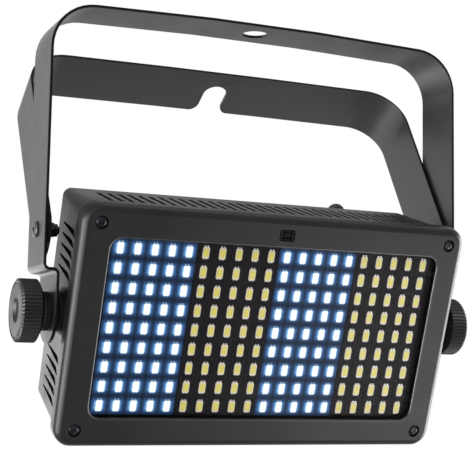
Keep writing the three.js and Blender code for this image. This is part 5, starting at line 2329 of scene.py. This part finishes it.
@dataclass
class DataSocket:
    """A round three-pole data socket in a flange with rounded corners."""

    place: Pair
    flange: Pair = (26.0, 31.0)
    flange_y: Pair = (34.2, 36.2)
    body_radius: float = 11.2
    body_y: float = 14.2
    cup_radius: float = 9.4
    cup_floor: float = 23.2
    core_radius: float = 7.6
    pin_circle: float = 4.3
    pin_radius: float = 1.2
    pin_end: Pair = (33.0, 33.2)
    hole_floor: float = 26.2
    lug_in: float = 3.4
    lug_radius: float = 2.0
    lug_depth: float = 0.9
    latch_half: float = 4.0
    latch_y: Pair = (31.2, 38.4)
    latch_height: float = 3.4
    rib_pitch: float = 1.6
    rib_half: float = 0.25

    def shell(self, name: str) -> Piece:
        """The flange and body with its cup.

        Args:
            name: The piece's name.

        Returns:
            The shell.
        """
        root, face = self.flange_y
        piece = slab(name, self.flange, 3.0, self.flange_y, self.place, 6)
        lug = (self.flange[0] / 2 - self.lug_in, self.flange[1] / 2 - self.lug_in)
        for sign in (-1, 1):
            spot = (self.place[0] + sign * lug[0], self.place[1] - sign * lug[1])
            depth = (face - self.lug_depth, face + OVERRUN)
            piece.cut(rod("lug", Axis.Y, self.lug_radius, depth, spot, 24))
        depth = (self.body_y, root + BITE)
        piece.weld(rod("body", Axis.Y, self.body_radius, depth, self.place, 48))
        depth = (self.cup_floor, face + OVERRUN)
        return piece.cut(rod("cup", Axis.Y, self.cup_radius, depth, self.place, 48))

    def poles(self, way: float) -> List[Pair]:
        """Where the three pins lie, or the holes of the mating half.

        Args:
            way: 1 for the pins, -1 for the holes.

        Returns:
            The three places, in X and Z.
        """
        spots = []
        for pole in range(3):
            angle = (pole + 0.5) * math.pi / 2 + math.pi / 4
            x = self.pin_circle * math.cos(angle) * way
            spots.append((self.place[0] + x, self.place[1] + self.pin_circle * math.sin(angle)))
        return spots

    def build_input(self, palette: Palette) -> None:
        """Model the input with its pins and settle it.

        Args:
            palette: Every finish.
        """
        finishes = [palette.powder_coat, palette.tin]
        piece = self.shell("data_input_shell").round_off(0.2)
        piece.smooth().dress(finishes)
        for spot in self.poles(1.0):
            depth = (self.cup_floor, self.pin_end[0])
            pin = rod("pin", Axis.Y, self.pin_radius, depth, spot, 20)
            dome(pin, Axis.Y, self.pin_end[1], 0.4, 3)
            pin.smooth().dress(finishes, lambda at, normal: 1)
            piece.gather(pin)
        piece.settle(HEAD, "head", "black_screw_steel", "data_input")

    def build_output(self, palette: Palette) -> None:
        """Model the output with its core and the slot for the latch and settle it.

        Args:
            palette: Every finish.
        """
        piece = self.shell("data_output_shell")
        face = self.flange_y[1] - 0.3
        core = rod("core", Axis.Y, self.core_radius, (self.cup_floor - BITE, face), self.place, 48)
        for spot in self.poles(-1.0):
            depth = (self.hole_floor, face + 1)
            core.cut(rod("hole", Axis.Y, self.pin_radius + 0.3, depth, spot, 20))
        piece.weld(core)
        x, z = self.place[0], self.place[1] + self.cup_radius
        half = self.latch_half + 0.3
        low = (x - half, self.latch_y[0] - 1.5, z - 0.3)
        piece.cut(block("latch slot", low, (x + half, 39.0, z + self.latch_height + 0.3)))
        piece.round_off(0.2).smooth().dress([palette.powder_coat])
        piece.settle(HEAD, "head", "black_screw_steel", "data_output")

    def build_latch(self, palette: Palette) -> None:
        """Model the latch lever with its ribbed thumb face and settle it.

        Args:
            palette: Every finish.
        """
        x, z = self.place[0], self.place[1] + self.cup_radius
        half, (root, face) = self.latch_half, self.latch_y
        top = z + self.latch_height
        piece = block("data_latch_lever", (x - half, root, z), (x + half, face, top))
        for step in (-1.5, -0.5, 0.5, 1.5):
            middle = x + step * self.rib_pitch
            low = (middle - self.rib_half, face - 0.35, z + 0.5)
            piece.cut(block("rib", low, (middle + self.rib_half, face + 0.6, top - 0.5)))
        piece.round_off(0.25).smooth().dress([palette.zinc])
        piece.settle(HEAD, "data_latch", "zinc_steel", "data_latch")


@dataclass
class FuseHolder:
    """The fuse holder and its slotted bayonet cap."""

    flange_radius: float = 8.6
    flange_y: Pair = (34.2, 36.2)
    body_radius: float = 6.4
    body_y: float = 12.2
    bore_radius: float = 5.2
    bore_floor: float = 20.2
    cap_radius: float = 6.6
    cap_y: Pair = (36.5, 40.9)
    plug_radius: float = 4.9
    plug_y: float = 20.5
    flutes: int = 12
    flute_radius: float = 0.9
    flute_out: float = 0.45
    flute_foot: float = 1.0
    slot_depth: float = 1.2
    slot_half: float = 0.7

    def build(self, finish: Finish) -> None:
        """Model the holder and the cap and settle them.

        Args:
            finish: Their plastic.
        """
        root, face = self.flange_y
        holder = rod("fuse_holder_body", Axis.Y, self.flange_radius, self.flange_y, FUSE, 48)
        holder.bevel_edges(lambda a, b: min(a.y, b.y) > face - NEAR, 0.8, 3)
        depth = (self.body_y, root + BITE)
        holder.weld(rod("tube", Axis.Y, self.body_radius, depth, FUSE, 40))
        depth = (self.bore_floor, face + 1)
        holder.cut(rod("bore", Axis.Y, self.bore_radius, depth, FUSE, 40))
        holder.round_off(0.15).smooth().dress([finish])
        holder.settle(HEAD, "head", "shell_plastic", "fuse_holder")
        self._cap(finish)

    def _cap(self, finish: Finish) -> None:
        """The cap, fluted round its side and slotted for a coin or a driver.

        Args:
            finish: Its plastic.
        """
        x, z = FUSE
        root, face = self.cap_y
        cap = rod("fuse_cap_fluted", Axis.Y, self.cap_radius, self.cap_y, FUSE, 48)
        away = self.cap_radius + self.flute_out
        for flute in range(self.flutes):
            angle = 2 * math.pi * flute / self.flutes
            spot = (x + away * math.cos(angle), z + away * math.sin(angle))
            depth = (root + self.flute_foot, face + 1)
            cap.cut(rod("flute", Axis.Y, self.flute_radius, depth, spot, 16))
        low = (x - 8, face - self.slot_depth, z - self.slot_half)
        cap.cut(block("slot", low, (x + 8, face + OVERRUN, z + self.slot_half)))
        depth = (self.plug_y, root + BITE)
        cap.weld(rod("plug", Axis.Y, self.plug_radius, depth, FUSE, 32))
        cap.round_off(0.2, 2, 50.0).smooth().dress([finish])
        cap.settle(HEAD, "fuse_cap", "shell_plastic", "fuse_cap")


@dataclass
class ControlFace:
    """The display window and the four menu buttons below it."""

    display_size: Pair = (40.0, 16.0)
    display_y: Pair = (32.7, 34.3)
    digit: Pair = (5.2, 9.4)
    digit_pitch: float = 7.6
    segment_half: float = 0.45
    segment_gap: float = 0.6
    segment_depth: float = 0.1
    button_radius: float = 3.2
    button_y: Pair = (28.9, 35.7)
    flange_radius: float = 4.1
    flange_y: Pair = (31.5, 32.4)

    def build(self, lens: Finish, cap: Finish) -> None:
        """Model the window and the buttons and settle them.

        Args:
            lens: The dark window.
            cap: The buttons' plastic.
        """
        size, depth = self.display_size, self.display_y
        window = slab("display_window_lens", size, 1.5, depth, DISPLAY, 5)
        window.bevel_edges(lambda a, b: min(a.y, b.y) > depth[1] - NEAR, 0.35, 3)
        self._digits(window)
        window.smooth().dress([lens])
        window.settle(HEAD, "head", "dark_lens", "display_window")
        for number, place in enumerate(BUTTONS, 1):
            self._button(number, place, cap)

    def _digits(self, window: Piece) -> None:
        """Four blank digits, engraved as the segments show when they are off.

        Args:
            window: The window that they are engraved in.
        """
        half_x, half_z = self.digit[0] / 2, self.digit[1] / 2
        level = (half_x - self.segment_gap, self.segment_half)
        upright = (self.segment_half, half_z / 2 - self.segment_gap)
        segments = [(0.0, s * half_z, level) for s in (-1, 0, 1)]
        segments += [(s * half_x, t * half_z / 2, upright) for s in (-1, 1) for t in (-1, 1)]
        face = self.display_y[1]
        for place in range(4):
            middle = DISPLAY[0] + (place - 1.5) * self.digit_pitch
            for across, up, (wide, tall) in segments:
                x, z = middle + across, DISPLAY[1] + up
                low = (x - wide, face - self.segment_depth, z - tall)
                window.cut(block("segment", low, (x + wide, face + 1.0, z + tall)))

    def _button(self, number: int, place: Pair, finish: Finish) -> None:
        """A domed push button with its hidden flange.

        Args:
            number: Its number, from the left.
            place: Its middle, in X and Z.
            finish: Its plastic.
        """
        root, top = self.button_y
        name = f"menu_button_{number}"
        piece = rod(f"{name}_domed", Axis.Y, self.button_radius, (root, top - 0.7), place, 36)
        dome(piece, Axis.Y, top, 0.55)
        piece.weld(rod("flange", Axis.Y, self.flange_radius, self.flange_y, place, 36))
        piece.smooth().dress([finish])
        piece.settle(HEAD, name, "knob_plastic", name)


@dataclass
class SafetyEye:
    """A steel rod bent to an eye behind the head, for a safety cable."""

    radius: float = 1.7
    foot_y: float = 32.7
    stand_y: float = 42.7
    top_z: float = 56.1
    bend: float = 3.0
    sides: int = 20

    def build(self, finish: Finish) -> None:
        """Extrude and spin the rod from foot to foot and settle it.

        Args:
            finish: Its coat.
        """
        start = (EYE_X - EYE_ARCH, self.foot_y, EYE_FOOT_Z)
        clear_selection()
        bpy.ops.mesh.primitive_circle_add(
            vertices=self.sides, radius=self.radius, fill_type="NGON", location=start,
            rotation=(-math.pi / 2, 0.0, 0.0),
        )
        piece = Piece("safety_eye_rod", bpy.context.active_object)
        arch_z = self.top_z - self.radius - EYE_ARCH
        straight = self.stand_y - self.bend - self.foot_y
        leg = arch_z - EYE_FOOT_Z - self.bend
        with piece.shaping("FACE"):
            self._go((0.0, straight, 0.0))
            pivot_y, pivot_z = self.stand_y - self.bend, EYE_FOOT_Z + self.bend
            bpy.ops.mesh.spin(steps=6, angle=-math.pi / 2, center=(0.0, pivot_y, pivot_z),
                              axis=(1.0, 0.0, 0.0))
            self._go((0.0, 0.0, leg))
            bpy.ops.mesh.spin(steps=12, angle=-math.pi, center=(EYE_X, self.stand_y, arch_z),
                              axis=(0.0, 1.0, 0.0))
            self._go((0.0, 0.0, -leg))
            bpy.ops.mesh.spin(steps=6, angle=math.pi / 2, center=(0.0, pivot_y, pivot_z),
                              axis=(1.0, 0.0, 0.0))
            self._go((0.0, -straight, 0.0))
        piece.mend().smooth().dress([finish])
        piece.settle(HEAD, "head", "yoke_steel", "safety_eye")

    @staticmethod
    def _go(step: Point) -> None:
        """Extrude the selected end by a step."""
        bpy.ops.mesh.extrude_region_move(TRANSFORM_OT_translate={"value": step})


@dataclass
class HiddenWorks:
    """The CAD nodes that keep their own shape, dressed in their real finishes."""

    def build(self, palette: Palette) -> None:
        """Give each kept node its material.

        Args:
            palette: Every finish.
        """
        kept = {
            "led_board": palette.led_board,
            "heat_spreader": palette.aluminium,
            "power_board": palette.green_board,
            "control_board": palette.green_board,
            "transformer": palette.tape,
            "capacitor": palette.sleeve,
            "display_module": palette.nylon,
            "knob_stud_left": palette.zinc,
            "knob_stud_right": palette.zinc,
            "pivot_insert_left": palette.brass,
            "pivot_insert_right": palette.brass,
        }
        for name, finish in kept.items():
            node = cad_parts[name]
            node.data.materials.clear()
            node.data.materials.append(finish)
            LOG.info("%s keeps its own shape", name)


# The studio.


@dataclass
class Studio:
    """The camera at the photograph's angle, the floor, the world and the lamps."""

    camera_at: Point = (-269.22, -608.93, -185.73)
    camera_turn: Point = (96.934, -0.928, -23.827)
    lens: float = 97.617
    sensor: float = 36.0
    shift: Pair = (-0.0249, 0.0003)
    floor_z: float = -900.0
    floor_half: float = 3000.0
    world_level: float = 0.95

    def build(self) -> None:
        """Set up all that isn't part of the object."""
        self._camera()
        self._floor()
        self._world()
        self._lamp("key softbox", (-500.0, -1200.0, 800.0), (800.0, 800.0), 1.5)
        self._lamp("top softbox", (150.0, 150.0, 900.0), (900.0, 600.0), 1.3)
        self._lamp("left card", (-1130.0, -60.0, -500.0), (640.0, 900.0), 19.0, True)
        self._lamp("front left card", (-920.0, -690.0, -450.0), (640.0, 900.0), 9.0, True)
        self._lamp("right card", (1090.0, 40.0, -300.0), (720.0, 900.0), 11.0, True)
        self._lamp("rear card", (-180.0, 640.0, -300.0), (260.0, 420.0), 3.0, True)
        self._lamp("lower card", (620.0, -620.0, -700.0), (480.0, 420.0), 6.0, True)
        scene = bpy.context.scene
        scene.view_settings.view_transform = "Standard"

    def _camera(self) -> None:
        """The camera, matched to the photograph's perspective."""
        data = bpy.data.cameras.new("camera")
        data.lens = self.lens
        data.sensor_width = self.sensor
        data.shift_x, data.shift_y = self.shift
        data.clip_start = 0.01
        data.clip_end = 50.0
        camera = bpy.data.objects.new("camera", data)
        camera.location = [value * MM for value in self.camera_at]
        camera.rotation_euler = [math.radians(value) for value in self.camera_turn]
        bpy.context.scene.collection.objects.link(camera)
        bpy.context.scene.camera = camera

    def _floor(self) -> None:
        """A plain pale floor, below the hanging object."""
        clear_selection()
        bpy.ops.mesh.primitive_plane_add(
            size=2 * self.floor_half * MM, location=(0.0, 0.0, self.floor_z * MM)
        )
        floor = bpy.context.active_object
        floor.name = "studio_floor"
        paper = GrainedSolid("matte paper", "DCDCDC", "E0E0E0", (0.8, 0.9), 3.0, 0.01, 200.0, 0.3)
        floor.data.materials.append(paper.make())

    def _world(self) -> None:
        """White to the camera and in reflections, and a plain level on everything else."""
        world = bpy.data.worlds.new("studio")
        bpy.context.scene.world = world
        world.use_nodes = True
        tree = world.node_tree
        tree.nodes.clear()
        rays = add_node(tree, "ShaderNodeLightPath").outputs
        seen = rays["Is Camera Ray"]
        for other in ("Is Glossy Ray", "Is Transmission Ray"):
            inputs = {0: seen, 1: rays[other]}
            seen = add_node(tree, "ShaderNodeMath", inputs, operation="MAXIMUM").outputs[0]
        inputs = {"Value": seen, "To Min": self.world_level, "To Max": 1.0}
        level = add_node(tree, "ShaderNodeMapRange", inputs)
        inputs = {"Color": linear("FFFFFF"), "Strength": level.outputs["Result"]}
        light = add_node(tree, "ShaderNodeBackground", inputs)
        add_node(tree, "ShaderNodeOutputWorld", {"Surface": light.outputs["Background"]})

    @staticmethod
    def _lamp(name: str, at: Point, size: Pair, radiance: float, card: bool = False) -> None:
        """A rectangular softbox that faces the middle of the head.

        Args:
            name: Its name.
            at: Its place, in the object's millimetres.
            size: Its width and height, in millimetres.
            radiance: How bright its face looks, where 1 is white.
            card: Whether it shows in reflections alone and leaves plain colours as they are.
        """
        data = bpy.data.lights.new(name, "AREA")
        data.shape = "RECTANGLE"
        data.size, data.size_y = size[0] * MM, size[1] * MM
        data.energy = radiance * math.pi * data.size * data.size_y
        lamp = bpy.data.objects.new(name, data)
        lamp.location = [value * MM for value in at]
        aim = Vector((0.0, 0.0, -0.15)) - lamp.location
        lamp.rotation_euler = aim.to_track_quat("-Z", "Y").to_euler()
        lamp.visible_camera = False
        lamp.visible_diffuse = not card
        bpy.context.scene.collection.objects.link(lamp)


def main() -> None:
    """Build every sub-assembly in order and report each piece."""
    logging.basicConfig(level=logging.INFO, format="%(message)s")
    Studio().build()
    palette = Palette()
    MainYoke().build(palette.powder_coat, palette.edge_shade_coat)
    FloorBracket().build(palette.powder_coat, palette.edge_shade_coat)
    for side in Side:
        BracketPivot().build(side, palette.black_oxide, palette.powder_coat)
        FrictionJoint().build(side, palette.rubber)
        ClampKnob().build(side, palette.nylon)
    FrontBezel().build(palette.abs, palette.polished_abs)
    LedPanel().build(palette)
    RemoteReceiver().build(palette.smoked)
    RearShell().build(palette.shell_abs)
    RearPanel().build(palette.powder_coat)
    HeadScrews().build(palette.black_oxide)
    MainsConnector(INLET).build_inlet(palette)
    MainsConnector(OUTLET).build_outlet(palette)
    DataSocket(DATA_INPUT).build_input(palette)
    output = DataSocket(DATA_OUTPUT)
    output.build_output(palette)
    output.build_latch(palette)
    FuseHolder().build(palette.nylon)
    ControlFace().build(palette.smoked, palette.nylon)
    SafetyEye().build(palette.powder_coat)
    HiddenWorks().build(palette)


if __name__ == "__main__":
    main()
